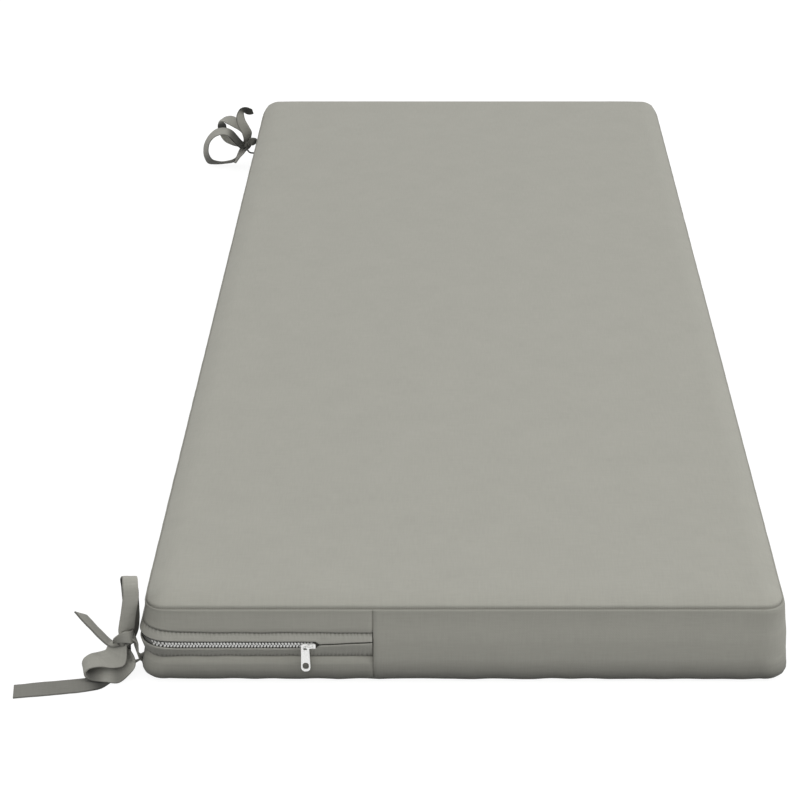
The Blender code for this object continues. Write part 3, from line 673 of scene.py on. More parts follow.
def lay_cloth(shape, place):
    """Gives every face corner its cloth coordinates, in metres, from where its point is now."""
    layer = shape.loops.layers.uv.new("cloth")
    for face in shape.faces:
        for loop in face.loops:
            loop[layer].uv = place(loop.vert.co)


def add_shape(whole, shape):
    """Adds one finished shape to another."""
    held = bpy.data.meshes.new("held")
    shape.to_mesh(held)
    shape.free()
    whole.from_mesh(held)
    bpy.data.meshes.remove(held)


def long_bar(section_count, stations):
    """A closed bar with its rings at heights 0, 1, 2... and the section's points at X 0, 1, 2..."""
    bar = bmesh.new()
    ring = [bar.verts.new((float(index), 0.0, 0.0)) for index in range(section_count)]
    edges = [bar.edges.new((a, b)) for a, b in zip(ring, ring[1:] + ring[:1])]
    grown = bmesh.ops.extrude_edge_only(bar, edges=edges)["geom"]
    far_end = [item for item in grown if isinstance(item, bmesh.types.BMVert)]
    bmesh.ops.translate(bar, verts=far_end, vec=(0.0, 0.0, stations - 1))
    running = [edge for edge in bar.edges if abs(edge.verts[0].co.z - edge.verts[1].co.z) > 0.5]
    if stations > 2:
        bmesh.ops.subdivide_edges(bar, edges=running, cuts=stations - 2, use_grid_fill=True)
    bmesh.ops.holes_fill(bar, edges=[edge for edge in bar.edges if edge.is_boundary], sides=0)
    return bar


# ---- node groups ----
def new_group(name, inputs, outputs):
    group = bpy.data.node_groups.new(name, "ShaderNodeTree")
    for label, kind, value in inputs:
        socket = group.interface.new_socket(name=label, in_out="INPUT", socket_type=kind)
        if value is not None:
            socket.default_value = value
    for label, kind in outputs:
        group.interface.new_socket(name=label, in_out="OUTPUT", socket_type=kind)
    return group, group.nodes.new("NodeGroupInput"), group.nodes.new("NodeGroupOutput")


def set_inputs(tree, node, given):
    """Links or sets a node's inputs, each by its name or its place."""
    for label, value in given.items():
        if isinstance(value, bpy.types.NodeSocket):
            tree.links.new(value, node.inputs[label])
        else:
            node.inputs[label].default_value = value
    return node


def new_node(tree, kind, given):
    return set_inputs(tree, tree.nodes.new(kind), given)


def math_node(tree, operation, *values):
    node = new_node(tree, "ShaderNodeMath", dict(enumerate(values)))
    node.operation = operation
    return node.outputs[0]


def noise_node(tree, vector, scale, detail=2.0, roughness=0.5):
    given = {"Vector": vector, "Scale": scale, "Detail": detail, "Roughness": roughness}
    return new_node(tree, "ShaderNodeTexNoise", given).outputs["Fac"]


def stretched(tree, vector, scale):
    given = {"Vector": vector, "Scale": scale}
    return new_node(tree, "ShaderNodeMapping", given).outputs["Vector"]


def spread(tree, factor, low, high):
    given = {"Value": factor, "From Min": low, "From Max": high}
    return new_node(tree, "ShaderNodeMapRange", given).outputs["Result"]


def mix_colour(tree, factor, low, high):
    node = tree.nodes.new("ShaderNodeMix")
    node.data_type = "RGBA"
    return set_inputs(tree, node, {0: factor, 6: low, 7: high}).outputs[2]


def group_node(tree, group, given):
    node = tree.nodes.new("ShaderNodeGroup")
    node.node_tree = group
    return set_inputs(tree, node, given)


def build_weave_group():
    """Plain weave from thread coordinates in metres: its height, and a mask of lighter threads."""
    inputs = [
        ("Cloth", "NodeSocketVector", None),
        ("Threads per metre", "NodeSocketFloat", THREADS_PER_METRE),
    ]
    outputs = [(label, "NodeSocketFloat") for label in ("Height", "Thread tone", "Mottle")]
    tree, start, end = new_group("plain_weave", inputs, outputs)
    place = start.outputs["Cloth"]
    fine, coarse = SLUB_SCALES
    split = new_node(tree, "ShaderNodeSeparateXYZ", {0: place})
    turn = math_node(tree, "MULTIPLY", start.outputs["Threads per metre"], math.pi)
    warp = math_node(tree, "SINE", math_node(tree, "MULTIPLY", split.outputs["X"], turn))
    weft = math_node(tree, "SINE", math_node(tree, "MULTIPLY", split.outputs["Y"], turn))
    crossing = math_node(tree, "MULTIPLY", warp, weft)
    rounded = math_node(tree, "MULTIPLY_ADD", crossing, 0.5, 0.5)
    along_warp = noise_node(tree, stretched(tree, place, (fine, coarse, 1.0)), 1.0)
    along_weft = noise_node(tree, stretched(tree, place, (coarse, fine, 1.0)), 1.0)
    slub = math_node(tree, "ADD", along_warp, along_weft)
    set_inputs(tree, end, {
        "Height": math_node(tree, "MULTIPLY_ADD", slub, 0.3, rounded),
        "Thread tone": math_node(tree, "MULTIPLY", slub, 0.5),
        "Mottle": noise_node(tree, place, MOTTLE_SCALE, 3.0, 0.55),
    })
    return tree


def build_shade_group():
    """Painted shade: darkens the cloth colour by the given share, for seams, folds, hollows and
    cast shadows.
    """
    inputs = [("Cloth colour", "NodeSocketColor", None), ("Painted shade", "NodeSocketFloat", 0.0)]
    tree, start, end = new_group("seam_shade", inputs, [("Shaded colour", "NodeSocketColor")])
    deep = new_node(tree, "ShaderNodeHueSaturation", {
        "Value": math_node(tree, "MULTIPLY_ADD", start.outputs["Painted shade"], -SEAM_SHADE, 1.0),
        "Color": start.outputs["Cloth colour"],
    })
    set_inputs(tree, end, {"Shaded colour": deep.outputs["Color"]})
    return tree


# ---- materials ----
def new_material(name):
    made = bpy.data.materials.new(name)
    made.use_nodes = True
    tree = made.node_tree
    return made, tree, tree.nodes["Principled BSDF"]


def cloth_material(name, effects, tones, threads=THREADS_PER_METRE, relief=CLOTH_RELIEF):
    """Matt woven cloth that follows the piece's own UV map, laid out in metres."""
    made, tree, shader = new_material(name)
    weave, shade = effects
    light, dark = tones
    uv = tree.nodes.new("ShaderNodeUVMap")
    uv.uv_map = "cloth"
    cloth = group_node(tree, weave, {"Cloth": uv.outputs["UV"], "Threads per metre": threads})
    tone = spread(tree, cloth.outputs["Thread tone"], 0.35, 0.65)
    patch = spread(tree, cloth.outputs["Mottle"], 0.3, 0.7)
    faded = new_node(tree, "ShaderNodeHueSaturation", {
        "Value": math_node(tree, "MULTIPLY_ADD", patch, 0.036, 0.982),
        "Color": mix_colour(tree, tone, colour(*dark), colour(*light)),
    })
    # Painted shade: the piece's shade attribute darkens the cloth colour.
    painted_shade = tree.nodes.new("ShaderNodeAttribute")
    painted_shade.attribute_name = "painted_shade"
    deep = group_node(tree, shade, {
        "Painted shade": painted_shade.outputs["Fac"],
        "Cloth colour": faded.outputs["Color"],
    })
    bump = new_node(tree, "ShaderNodeBump", {
        "Strength": relief,
        "Distance": THREAD_RELIEF_DEPTH,
        "Height": cloth.outputs["Height"],
    })
    set_inputs(tree, shader, {
        "Base Color": deep.outputs["Shaded colour"],
        "Roughness": math_node(tree, "MULTIPLY_ADD", tone, -0.06, 0.94),
        "Normal": bump.outputs["Normal"],
        "Specular IOR Level": 0.25,
        "Sheen Weight": 0.08,
        "Sheen Roughness": 0.6,
    })
    return made


def plain_material(name, tint, roughness, metallic=0.0):
    """Lacquered metal or moulded teeth with a faint unevenness."""
    made, tree, shader = new_material(name)
    place = tree.nodes.new("ShaderNodeTexCoord")
    patches = noise_node(tree, place.outputs["Object"], PATCH_SCALE)
    darker = colour(*[level * DARKER_PATCH for level in tint])
    set_inputs(tree, shader, {
        "Base Color": mix_colour(tree, spread(tree, patches, 0.3, 0.7), darker, colour(*tint)),
        "Roughness": math_node(tree, "MULTIPLY_ADD", patches, 0.12, roughness),
        "Metallic": metallic,
    })
    return made


# ---- cushion cover ----
def outline(x, y):
    """Depth inside the sewn outline, and the outline's outward direction there."""
    past_x = abs(x) - INNER_X
    past_y = abs(y) - INNER_Y
    side_x = math.copysign(1.0, x)
    side_y = math.copysign(1.0, y)
    if past_x > 0.0 and past_y > 0.0:
        reach = math.hypot(past_x, past_y)
        return CORNER_RADIUS - reach, side_x * past_x / reach, side_y * past_y / reach
    if past_x > past_y:
        return HALF_WIDTH - abs(x), side_x, 0.0
    return HALF_LENGTH - abs(y), 0.0, side_y


def crown(depth):
    """Rise of the top panel above its seam."""
    rolled = 1.0 - (1.0 - min(depth / ROLL_WIDTH, 1.0)) ** 2
    return ROLL_RISE * rolled + FILL_RISE * smooth_step(depth / HALF_WIDTH)


def level_out(up):
    """How far the plain and the zipped cloth stand out at one height, in millimetres."""
    plain = read_table(BOXING, up, 1)
    if AVERAGED_MM[0] < up < AVERAGED_MM[1]:
        near = [read_table(BOXING, up + gap, 1) for gap in AVERAGED_GAPS_MM]
        plain = sum(near) / len(near)
    return plain, read_table(BOXING, up, 2)


def boxing_out(x, up):
    """How far the side stands out from the sewn outline."""
    plain, zipped = level_out(up)
    from_seam = (x - PANEL_SEAM_X) / SEAM_HALF
    chosen = zipped if from_seam < 0.0 else plain
    pulled_in = 0.0
    if UPRIGHT_REACH_MM[0] < up < UPRIGHT_REACH_MM[1]:
        pulled_in = SEAM_DEPTH * max(0.0, 1.0 - from_seam * from_seam)
    return chosen * MM - pulled_in


def lines_from(marks, step):
    """Coordinates through every mark with gaps no larger than the step."""
    made = []
    for low, high in zip(marks, marks[1:]):
        count = max(1, math.ceil((high - low) / step - NEARLY_ZERO))
        made += [between(low, high, part / count) for part in range(count)]
    return made + [marks[-1]]


def corner_lines(half, step, extra=()):
    """Lines across one direction of the panel, closer together at its corners."""
    inner = half - CORNER_RADIUS
    marks = sorted([-inner, inner, *extra])
    middle = lines_from(marks, step)
    turns = [math.pi / 2 * part / CORNER_COLUMNS for part in range(1, CORNER_COLUMNS + 1)]
    corner = [CORNER_RADIUS * math.sin(turn) for turn in turns]
    return [-inner - gap for gap in reversed(corner)] + middle + [inner + gap for gap in corner]


def round_corner(x, y):
    """Moves a point of the square-cornered panel onto the round-cornered one."""
    past_x = abs(x) - INNER_X
    past_y = abs(y) - INNER_Y
    if past_x <= 0.0 or past_y <= 0.0:
        return x, y
    reach = max(past_x, past_y)
    if past_x >= past_y:
        turn = math.pi / 4 * past_y / past_x
    else:
        turn = math.pi / 2 - math.pi / 4 * past_x / past_y
    new_x = INNER_X + reach * math.cos(turn)
    new_y = INNER_Y + reach * math.sin(turn)
    return math.copysign(new_x, x), math.copysign(new_y, y)


def quarter_run(x, y):
    """Distance along the outline from the middle of the front or back end to a place."""
    past_x = abs(x) - INNER_X
    past_y = abs(y) - INNER_Y
    if past_x > 0.0 and past_y > 0.0:
        return INNER_X + CORNER_RADIUS * math.atan2(past_x, past_y)
    if past_y >= past_x:
        return abs(x)
    return QUARTER - abs(y)


def edge_run(x, y, side):
    """Distance round the whole outline from the middle of the front end; side: -1 left, 1 right."""
    run = quarter_run(x, y)
    if y < 0.0:
        return math.copysign(run, x)
    if x * side < 0.0:
        run = -run
    return side * (2 * QUARTER - run)


def side_waves(x, y, up):
    """Shallow dents and pulled folds of the boxing cloth, in metres outwards."""
    run = edge_run(x, y, math.copysign(1.0, x))
    middle = math.sin(math.pi * min(max((up - DENTS_FROM_MM) / DENTS_HIGH_MM, 0.0), 1.0))
    broad = 0.0
    for share, seed, turn, size in DENTS:
        broad += share * ripple(run, seed + turn * up * MM, 0.0, size)
    if x < PANEL_SEAM_X and ZIPPED_CALM_MM[0] < up < ZIPPED_CALM_MM[1]:
        middle *= ZIPPED_CALM
    low = max(0.0, 1.0 - up / LOW_FOLD_TO_MM)
    fold = ripple(run + 0.7 * up * MM, 3.0, 0.0, LOW_FOLD_SIZE)
    high = max(0.0, (up - TUCK_FROM_MM) / TUCK_HIGH_MM)
    tuck = ripple(run - 0.4 * up * MM, 8.0, 0.0, TUCK_SIZE)
    return (DENT_MM * middle * broad + LOW_FOLD_MM * low * fold + TUCK_MM * high * tuck) * MM


def cover_painted_shade(x, y, level):
    """Painted shade at one place of the cover: in its sewn seams, under the bulge of the zip
    strips, towards the floor and behind the pull; 0 in the open.
    """
    x, y = round_corner(x, y)
    depth = outline(x, y)[0]
    # Painted shade in the top seam's notch.
    if level >= SEAM_HEIGHT / MM:
        return TOP_SEAM_SHADE * max(0.0, 1.0 - depth / TOP_SEAM_LINE)
    upright = 0.0
    # Painted shade in the upright seam.
    if depth < NEARLY_ZERO and UPRIGHT_SHADE_FROM_MM < level:
        upright = UPRIGHT_SHADE * max(0.0, 1.0 - abs(x - PANEL_SEAM_X) / SEAM_HALF)
    # Painted shade by height: towards the floor, in the zip channel and under the top seam.
    level_share = read_table(PAINTED_SHADE_LEVELS, level, 2 if x < PANEL_SEAM_X else 1)
    # Painted shade above the upper zip strip near the front left corner.
    strip_edge, clear = CORNER_PAINTED_SHADE_MM
    if x < PANEL_SEAM_X and strip_edge < level < clear:
        reach = math.hypot(HALF_WIDTH + x, HALF_LENGTH + y)
        fading = (clear - level) / (clear - strip_edge)
        level_share += max(0.0, CORNER_PAINTED_SHADE - reach / CORNER_PAINTED_SHADE_REACH) * fading
    # Painted shadow of the pull on the front.
    pull_shadow = 0.0
    if y < 0.0:
        beside = (x / MM - PULL_SHADOW_MM[0]) / PULL_SHADOW_MM[2]
        above = (level - PULL_SHADOW_MM[1]) / PULL_SHADOW_MM[3]
        pull_shadow = PULL_SHADOW_STRENGTH * math.exp(-beside * beside - above * above)
    return max(upright, level_share) + pull_shadow


def far_corner_slack(x, y):
    """How far the less filled far corners draw in, in metres."""
    reach = math.hypot(HALF_WIDTH - abs(x), HALF_LENGTH - y)
    return FAR_CORNER_IN_MM * MM * max(0.0, 1.0 - reach / FAR_CORNER_REACH) ** 2


def near_corner_slack(x, y, level):
    """How far the near corners draw in at one height, in metres."""
    reach = math.hypot(HALF_WIDTH - abs(x), HALF_LENGTH + y)
    slack = read_table(CORNER_SLACK, level, 1 if x > 0.0 else 2)
    return slack * MM * max(0.0, 1.0 - reach / CORNER_SLACK_REACH) ** 2


def place_top_point(x, y, depth, aim_x, aim_y):
    """Where one point of the top panel goes."""
    notch = max(0.0, 1.0 - depth / NOTCH_WIDTH)
    rise = crown(depth) + LIP_MM * MM * (1.0 - notch) - NOTCH_SINK * SEAM_NOTCH_MM * MM * notch
    waves = sum(high * ripple(x, y, seed, size) for high, seed, size in TOP_WAVES)
    rise += smooth_step(depth / CALM_EDGE) * MM * waves
    tight = math.exp(-(((depth - ROLL_PUCKER_DEPTH) / ROLL_PUCKER_DEPTH) ** 2))
    run = edge_run(x, y, math.copysign(1.0, x))
    rise += tight * MM * ROLL_PUCKER_MM * ripple(run, 5.0, 0.0, ROLL_PUCKER_SIZE)
    moved = (BOXING[0][1] - SEAM_NOTCH_MM) * MM * notch
    moved -= far_corner_slack(x, y) * max(0.0, 1.0 - depth / FAR_CORNER_PANEL)
    return Vector((x + aim_x * moved, y + aim_y * moved, SEAM_HEIGHT - LIP_MM * MM + rise))


def sagged(x, y, aim_y, level):
    """The height of a place near the floor once the lower edge sags, in millimetres."""
    low = max(0.0, 1.0 - level / SAG_TO_MM)
    if abs(aim_y) > 0.7 and y < 0.0:
        drop = read_table(LOWER_EDGE_WAVES, x / MM, 1)
    else:
        drop = SIDE_SAG_MM * ripple(x, y, 7.0, SIDE_SAG_SIZE)
    return level - low * smooth_step(level / SAG_STARTS_MM) * (SAG_SHARE * drop + SAG_LEAST_MM)


def uneven_sewing(x, y, level):
    """How much the zip panel's long seams run up and down, in millimetres."""
    if x >= PANEL_SEAM_X or not any(low < level < high for low, high in UNEVEN_MM):
        return 0.0
    run = edge_run(x, y, -1.0)
    upper = level > UNEVEN_MM[1][0]
    broad = UNEVEN_SEAM_MM * ripple(run, upper, 0.0, UNEVEN_SEAM_SIZE)
    return broad + FINE_SEAM_MM * ripple(run, 3.0 * upper, 1.0, FINE_SEAM_SIZE)


def place_cover_point(x, y, level):
    """Where one point of the cover goes. level: height on the boxing, in millimetres."""
    x, y = round_corner(x, y)
    depth, aim_x, aim_y = outline(x, y)
    if level >= SEAM_HEIGHT / MM:
        return place_top_point(x, y, depth, aim_x, aim_y)
    moved = boxing_out(x, level) + side_waves(x, y, level)
    if y < 0.0:
        diagonal = 2.0 * abs(aim_x * aim_y)
        moved += CORNER_FILL_MM * MM * diagonal * read_table(CORNER_FILL, level, 1)
    moved -= far_corner_slack(x, y) + near_corner_slack(x, y, level)
    height = sagged(x, y, aim_y, level) + read_table(BOXING, level, 3) * dip_share(x, y)
    height += uneven_sewing(x, y, level)
    return Vector((x + aim_x * moved, y + aim_y * moved, height * MM))


def cloth_place(point, flat, side):
    """Cloth coordinates in metres: flat over the panels, wrapped round the boxing."""
    if flat:
        return point.x, point.y
    return edge_run(point.x, point.y, side), point.z


def build_cover(look):
    """The filled cushion's cloth: a fine box whose points are placed on the crown and boxing."""
    near_seam = [PANEL_SEAM_X + gap * MM for gap in SEAM_COLUMNS_MM]
    across = corner_lines(HALF_WIDTH, WIDTH_STEP, near_seam)
    along = corner_lines(HALF_LENGTH, LENGTH_STEP)
    levels = lines_from([row[0] for row in BOXING][::-1], HEIGHT_STEP_MM)
    directions = (across, along, levels)
    cover = bmesh.new()
    bmesh.ops.create_cube(cover, size=1.0)
    bmesh.ops.translate(cover, verts=cover.verts, vec=(0.5, 0.5, 0.5))
    for axis, lines in enumerate(directions):
        running = []
        for edge in cover.edges:
            if abs(edge.verts[0].co[axis] - edge.verts[1].co[axis]) > 0.5:
                running.append(edge)
        bmesh.ops.subdivide_edges(cover, edges=running, cuts=len(lines) - 2, use_grid_fill=True)
    under = [face for face in cover.faces if face.calc_center_median().z < NEARLY_ZERO]
    bmesh.ops.delete(cover, geom=under, context="FACES")
    top = {face for face in cover.faces if face.calc_center_median().z > 1.0 - NEARLY_ZERO}
    painted_shade_layer = cover.verts.layers.float.new("painted_shade")
    for vertex in cover.verts:
        shares = zip(directions, vertex.co)
        spot = [lines[round(share * (len(lines) - 1))] for lines, share in shares]
        # Each point keeps its painted shade for the cloth's colour.
        vertex[painted_shade_layer] = cover_painted_shade(*spot)
        vertex.co = place_cover_point(*spot)
    bmesh.ops.holes_fill(cover, edges=[edge for edge in cover.edges if edge.is_boundary], sides=0)
    bmesh.ops.recalc_face_normals(cover, faces=cover.faces)
    layer = cover.loops.layers.uv.new("cloth")
    for face in cover.faces:
        middle = face.calc_center_median()
        side = math.copysign(1.0, middle.x)
        flat = face in top or middle.z < 1e-4
        for loop in face.loops:
            loop[layer].uv = cloth_place(loop.vert.co, flat, side)
    piece = add_piece("cushion_cover", cover, [look])
    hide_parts("cushion")
    return piece


# ---- zip ----
FRONT_RUN_MM = (PANEL_SEAM_X + HALF_WIDTH - CORNER_RADIUS) / MM
CORNER_RUN_MM = math.pi / 2 * CORNER_RADIUS / MM
SIDE_RUN_MM = 2 * INNER_Y / MM
PANEL_RUN_MM = 2 * FRONT_RUN_MM + 2 * CORNER_RUN_MM + SIDE_RUN_MM


def boxing_path(along):
    """Point on the sewn outline and its outward direction, from the front seam round the left."""
    if along <= FRONT_RUN_MM:
        return PANEL_SEAM_X - along * MM, -HALF_LENGTH, 0.0, -1.0
    along -= FRONT_RUN_MM
    if along <= CORNER_RUN_MM:
        turn = along / CORNER_RUN_MM * math.pi / 2
        aim_x, aim_y = -math.sin(turn), -math.cos(turn)
        return CORNER_RADIUS * aim_x - INNER_X, CORNER_RADIUS * aim_y - INNER_Y, aim_x, aim_y
    along -= CORNER_RUN_MM
    if along <= SIDE_RUN_MM:
        return -HALF_WIDTH, along * MM - INNER_Y, -1.0, 0.0
    along -= SIDE_RUN_MM
    if along <= CORNER_RUN_MM:
        turn = along / CORNER_RUN_MM * math.pi / 2
        aim_x, aim_y = -math.cos(turn), math.sin(turn)
        return CORNER_RADIUS * aim_x - INNER_X, CORNER_RADIUS * aim_y + INNER_Y, aim_x, aim_y
    along -= CORNER_RUN_MM
    return along * MM - INNER_X, HALF_LENGTH, 0.0, 1.0


def rounded_section(rows, cuts):
    """The folded strip's section with rounded bends, from its corner points."""
    made = []
    for index, here in enumerate(rows):
        for cut in cuts:
            other = rows[index - 1] if cut < 0 else rows[(index + 1) % len(rows)]
            made.append([between(a, b, abs(cut)) for a, b in zip(here, other)])
    return made


def panel_steps(start, end, step):
    """Places along the zip panel through each bend and each row of its closing."""
    marks = [start] + [row[0] for row in CLOSING if start < row[0] < end]
    marks += [FRONT_RUN_MM, FRONT_RUN_MM + CORNER_RUN_MM]
    marks += [PANEL_RUN_MM - FRONT_RUN_MM - CORNER_RUN_MM, PANEL_RUN_MM - FRONT_RUN_MM, end]
    return lines_from(sorted(set(marks)), step)


def build_strip(name, node, rows, closing_column, grooved_high, look):
    """One folded strip of the zip panel with small puckers along its sewn edge."""
    section = rounded_section(rows, BEND_CUTS)
    stations = panel_steps(END_GAP_MM, PANEL_RUN_MM - END_GAP_MM, STRIP_STEP_MM)
    bar = long_bar(len(section), len(stations))
    lengths = [0.0]
    for low, high in zip(section, section[1:]):
        lengths.append(lengths[-1] + math.dist(low[:2], high[:2]))
    lay_cloth(bar, lambda at: (stations[round(at.z)] * MM, lengths[round(at.x)] * MM))
    ups = [row[1] for row in section]
    low_up, high_up = min(ups), max(ups)
    painted_shade_layer = bar.verts.layers.float.new("painted_shade")
    for vertex in bar.verts:
        row = section[round(vertex.co.x)]
        along = stations[round(vertex.co.z)]
        x, y, aim_x, aim_y = boxing_path(along)
        sewn = (row[1] - low_up) / (high_up - low_up)
        if not grooved_high:
            sewn = 1.0 - sewn
        phase = PUCKER_DRIFT * ripple(along, 5.0, 0.0, PUCKER_DRIFT_MM)
        pucker = math.sin(2 * math.pi * along / PUCKER_PITCH_MM + phase)
        slow = STRIP_WAVE_MM * ripple(along, 1.0, 4.0, STRIP_WAVE_SIZE_MM)
        front = smooth_step((row[0] - 1.5) / 2.0)
        # Painted shade in the hollows of the puckers along the sewn edge, and on the lower strip
        # round the front left corner.
        shade = max(0.0, sewn - SEWN_EDGE) * (SEWN_SHADE - SEWN_SHADE_WAVE * pucker)
        if not grooved_high:
            shade += CORNER_SHADE * hump(along, CORNER_SHADE_MM) * smooth_step(4.0 * sewn)
        vertex[painted_shade_layer] = shade
        out = row[0] + front * (STRIP_PUCKER_MM * sewn ** 2 * pucker + slow)
        run = edge_run(x, y, -1.0)
        wavy = UNEVEN_SEAM_MM * ripple(run, grooved_high, 0.0, UNEVEN_SEAM_SIZE)
        up = row[1] + sewn * wavy + row[3] * dip_share(x, y)
        up += row[2] * read_table(CLOSING, along, closing_column)
        vertex.co = Vector((x + aim_x * out * MM, y + aim_y * out * MM, up * MM))
    bmesh.ops.recalc_face_normals(bar, faces=bar.faces)
    piece = add_piece(name, bar, [look])
    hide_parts(node)
    return piece


def tooth_mesh():
    """One rounded tooth round the origin, in millimetres."""
    tooth = bmesh.new()
    bmesh.ops.create_cube(tooth, size=1.0)
    bmesh.ops.scale(tooth, verts=tooth.verts, vec=TOOTH_SIZE_MM)
    bmesh.ops.bevel(
        tooth, geom=tooth.edges[:], offset=TOOTH_ROUND_MM, affect="EDGES", segments=1, profile=0.5
    )
    for face in tooth.faces:
        face.material_index = 1
    mesh = bpy.data.meshes.new("tooth")
    tooth.to_mesh(mesh)
    tooth.free()
    return mesh


def build_chain(tape_look, tooth_look):
    """Tape behind and two rows of closed teeth in front."""
    start = CHAIN_START_MM
    end = PANEL_RUN_MM - END_GAP_MM
    stations = panel_steps(start, end, ZIP_TAPE_STEP_MM)
    bar = long_bar(len(ZIP_TAPE_ROWS), len(stations))
    painted_shade_layer = bar.verts.layers.float.new("painted_shade")
    for vertex in bar.verts:
        along = stations[round(vertex.co.z)]
        # Painted shade on the tape between the teeth, deeper round the front left corner.
        vertex[painted_shade_layer] = ZIP_TAPE_SHADE + hump(along, ZIP_TAPE_SHADE_MM)
        out, up = ZIP_TAPE_ROWS[round(vertex.co.x)]
        x, y, aim_x, aim_y = boxing_path(along)
        vertex.co = Vector((x + aim_x * out * MM, y + aim_y * out * MM, up * MM))
    lay_cloth(bar, lambda at: (at.x + at.y, at.z))
    bmesh.ops.recalc_face_normals(bar, faces=bar.faces)
    tape_points = len(bar.verts)
    tooth = tooth_mesh()
    count = int((end - start - LAST_TOOTH_MM) / TOOTH_PITCH_MM)
    for _ in range(count * len(TOOTH_ROWS)):
        bar.from_mesh(tooth)
    for index, vertex in enumerate(bar.verts):
        if index < tape_points:
            continue
        number = (index - tape_points) // len(tooth.vertices)
        up, shift, lean = TOOTH_ROWS[number % len(TOOTH_ROWS)]
        along = start + FIRST_TOOTH_MM + (number // len(TOOTH_ROWS) + shift) * TOOTH_PITCH_MM
        x, y, aim_x, aim_y = boxing_path(along)
        hidden = read_table(TEETH_HIDDEN, along, 1)
        side, out, high = vertex.co
        place = Vector((x, y, (up + high) * MM))
        place += Vector((-aim_y, aim_x, 0.0)) * -(side + lean * high) * MM
        place += Vector((aim_x, aim_y, 0.0)) * (TOOTH_OUT_MM - hidden + out) * MM
        vertex.co = place
    bpy.data.meshes.remove(tooth)
    piece = add_piece("zip_teeth_row", bar, [tape_look, tooth_look])
    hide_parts("zip_chain")
    return piece


# ---- ties ----
def tie_point(seam_y, out, fore, up):
    """Millimetres beside the left side to metres."""
    return Vector((TIE_SIDE_X - out * MM, seam_y - fore * MM, up * MM))


def build_strand(tie, rows, under, seam_y, first_length, offset):
    """One flat tape swept through its rows; returns the run of the whole tape up to its end."""
    stations = curve_through(rows, TAPE_STEP_MM)
    centres = [tie_point(seam_y, *row[:3]) for row in stations]
    crossings = [Vector((-row[3], -row[4], row[5])) * MM for row in stations]
    lengths = [first_length]
    for low, high in zip(centres, centres[1:]):
        lengths.append(lengths[-1] + (high - low).length)
    half = list(zip(TAPE_ACROSS, TAPE_THROUGH))
    section = half + [(across, -through) for across, through in half[-2:0:-1]]
    bar = long_bar(len(section), len(stations))
    sideways = [(across + 1.0) / 2 * TAPE_WIDTH_MM * MM for across, _ in section]
    lay_cloth(bar, lambda at: (sideways[round(at.x)], lengths[round(at.z)]))
    last = len(stations) - 1
    painted_shade_layer = bar.verts.layers.float.new("painted_shade")
    for vertex in bar.verts:
        across, through = section[round(vertex.co.x)]
        station = round(vertex.co.z)
        run = centres[min(station + 1, last)] - centres[max(station - 1, 0)]
        facing = run.cross(crossings[station]).normalized()
        # Painted shade: the row's own, more along the tape's edges and under edges that lie over
        # another strand, up to the deepest.
        shade = stations[station][6]
        if abs(across) > TAPE_EDGE:
            shade += TAPE_EDGE_SHADE
        if abs(across) > UNDER_EDGE:
            shade += under[across > 0.0]
        vertex[painted_shade_layer] = min(shade, DEEPEST_PAINTED_SHADE)
        place = centres[station] + crossings[station] * (across / 2)
        crease = TAPE_CREASE_MM * ripple(place.x, place.y, place.z + offset, TAPE_CREASE_SIZE)
        place += facing * ((through * TAPE_THICKNESS_MM / 2 + crease) * MM)
        place.z = max(place.z, FLOOR_CLEARANCE)
        vertex.co = place
    bmesh.ops.recalc_face_normals(bar, faces=bar.faces)
    add_shape(tie, bar)
    return lengths[-1]


def build_tie(name, node, strands, knot, seam_y, look):
    """A bow of folded tape: swept strands round the bunched cloth of their knot."""
    tie = bmesh.new()
    length = 0.0
    for offset, (strand, rows) in enumerate(strands.items()):
        under = UNDER_EDGES.get(strand, (0.0, 0.0))
        length = build_strand(tie, rows, under, seam_y, length, 0.1 * offset)
    least, middling, most = KNOT_SHADE
    centre, radii = knot
    lump = bmesh.new()
    bmesh.ops.create_icosphere(lump, subdivisions=3, radius=1.0)
    painted_shade_layer = lump.verts.layers.float.new("painted_shade")
    # Painted shade in the knot, deeper in the hollows between its lumps.
    for vertex in lump.verts:
        bunched = noise.noise(vertex.co * KNOT_LUMP_SIZE)
        vertex[painted_shade_layer] = min(max(middling - KNOT_SHADE_WAVE * bunched, least), most)
        vertex.co *= 1.0 + KNOT_LUMP_SHARE * bunched
    bmesh.ops.scale(lump, verts=lump.verts, vec=[radius * MM for radius in radii])
    bmesh.ops.translate(lump, verts=lump.verts, vec=tie_point(seam_y, *centre))
    lay_cloth(lump, lambda at: (at.y, at.z))
    add_shape(tie, lump)
    piece = add_piece(name, tie, [look])
    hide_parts(node)
    return piece


# ---- studio ----
def add_camera():
    data = bpy.data.cameras.new("studio_camera")
    data.lens = CAMERA_LENS_MM
    data.sensor_width = CAMERA_SENSOR_MM
    data.shift_x = CAMERA_SHIFT_X
    camera = link_object("studio_camera", data)
    camera.location = CAMERA_PLACE
    camera.rotation_euler = (math.pi / 2 - CAMERA_LOOKS_DOWN, 0.0, 0.0)
    bpy.context.scene.camera = camera


def add_softbox(name, place, size, power):
    """A soft lamp that looks at the middle of the underside."""
    data = bpy.data.lights.new(name, "AREA")
    data.shape = "RECTANGLE"
    data.size, data.size_y = size
    data.energy = power
    lamp = link_object(name, data)
    lamp.location = place
    lamp.rotation_euler = (-lamp.location).to_track_quat("-Z", "Y").to_euler()


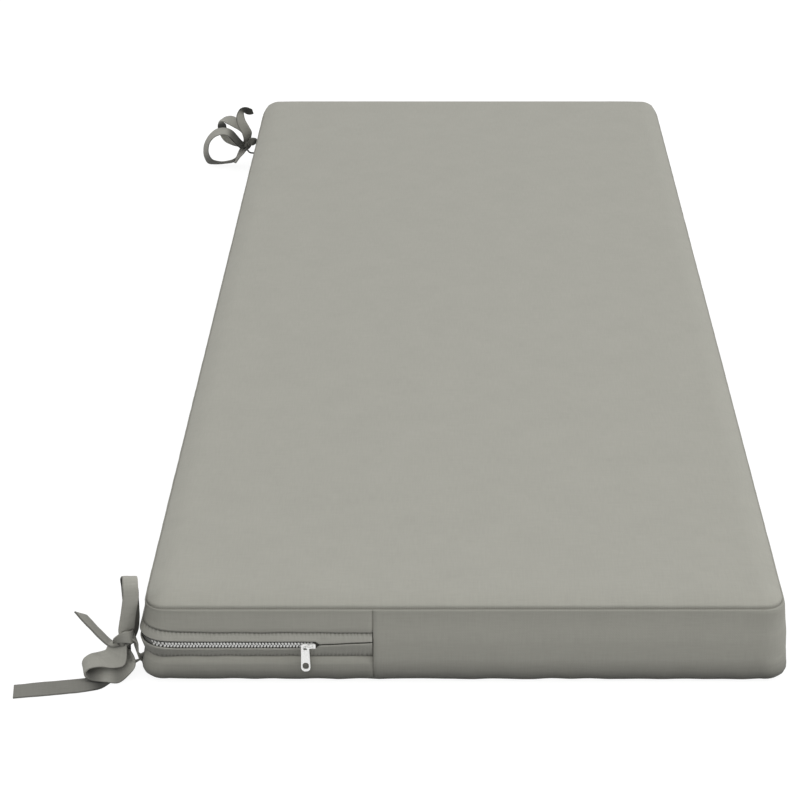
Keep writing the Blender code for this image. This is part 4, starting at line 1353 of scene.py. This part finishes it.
def add_world(scene):
    """An even sky, and little light from below the horizon."""
    world = bpy.data.worlds.new("studio")
    scene.world = world
    world.use_nodes = True
    tree = world.node_tree
    place = tree.nodes.new("ShaderNodeTexCoord")
    split = new_node(tree, "ShaderNodeSeparateXYZ", {0: place.outputs["Generated"]})
    share = spread(tree, split.outputs["Z"], *HORIZON_BAND)
    shade = mix_colour(tree, share, (*[SKY_BELOW_HORIZON] * 3, 1.0), WHITE)
    set_inputs(tree, tree.nodes["Background"], {"Color": shade, "Strength": SKY_STRENGTH})


def add_floor():
    made, tree, shader = new_material("floor_paint")
    set_inputs(tree, shader, {
        "Base Color": (*[FLOOR_PAINT] * 3, 1.0),
        "Roughness": 0.9,
        "Specular IOR Level": 0.1,
        "Emission Color": WHITE,
        "Emission Strength": FLOOR_LIGHT,
    })
    floor = bmesh.new()
    bmesh.ops.create_grid(floor, x_segments=1, y_segments=1, size=FLOOR_SIZE / 2)
    bmesh.ops.translate(floor, verts=floor.verts, vec=(0.0, 0.0, FLOOR_HEIGHT))
    plane = link_shape("floor", floor, [made])
    plane.visible_diffuse = False


def add_studio():
    scene = bpy.context.scene
    scene.view_settings.view_transform = "Standard"
    add_world(scene)
    for name, place, size, power in SOFTBOXES:
        add_softbox(name, place, size, power)
    add_floor()


def dress_metal(look):
    for node in ("zip_slider", "zip_pull"):
        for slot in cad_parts[node].material_slots:
            slot.material = look


def build_all():
    add_camera()
    add_studio()
    effects = (build_weave_group(), build_shade_group())
    cover_cloth = cloth_material("cover_cloth", effects, COVER_TONES)
    strip_cloth = cloth_material("strip_cloth", effects, STRIP_TONES)
    tape_cloth = cloth_material("tie_tape_cloth", effects, STRIP_TONES)
    zip_tape = cloth_material("zip_tape", effects, ZIP_TAPE_TONES, ZIP_TAPE_THREADS, ZIP_RELIEF)
    teeth = plain_material("moulded_teeth", TEETH_TINT, 0.35)
    metal = plain_material("white_lacquered_metal", METAL_TINT, 0.25, 0.6)
    build_cover(cover_cloth)
    build_strip("upper_zip_strip", "zip_strip_upper", UPPER_STRIP, 1, True, strip_cloth)
    build_strip("lower_zip_strip", "zip_strip_lower", LOWER_STRIP, 2, False, strip_cloth)
    build_chain(zip_tape, teeth)
    dress_metal(metal)
    build_tie("near_bow", "tie_near", NEAR_STRANDS, NEAR_KNOT, NEAR_TIE_Y, tape_cloth)
    build_tie("far_bow", "tie_far", FAR_STRANDS, FAR_KNOT, FAR_TIE_Y, tape_cloth)


build_all()
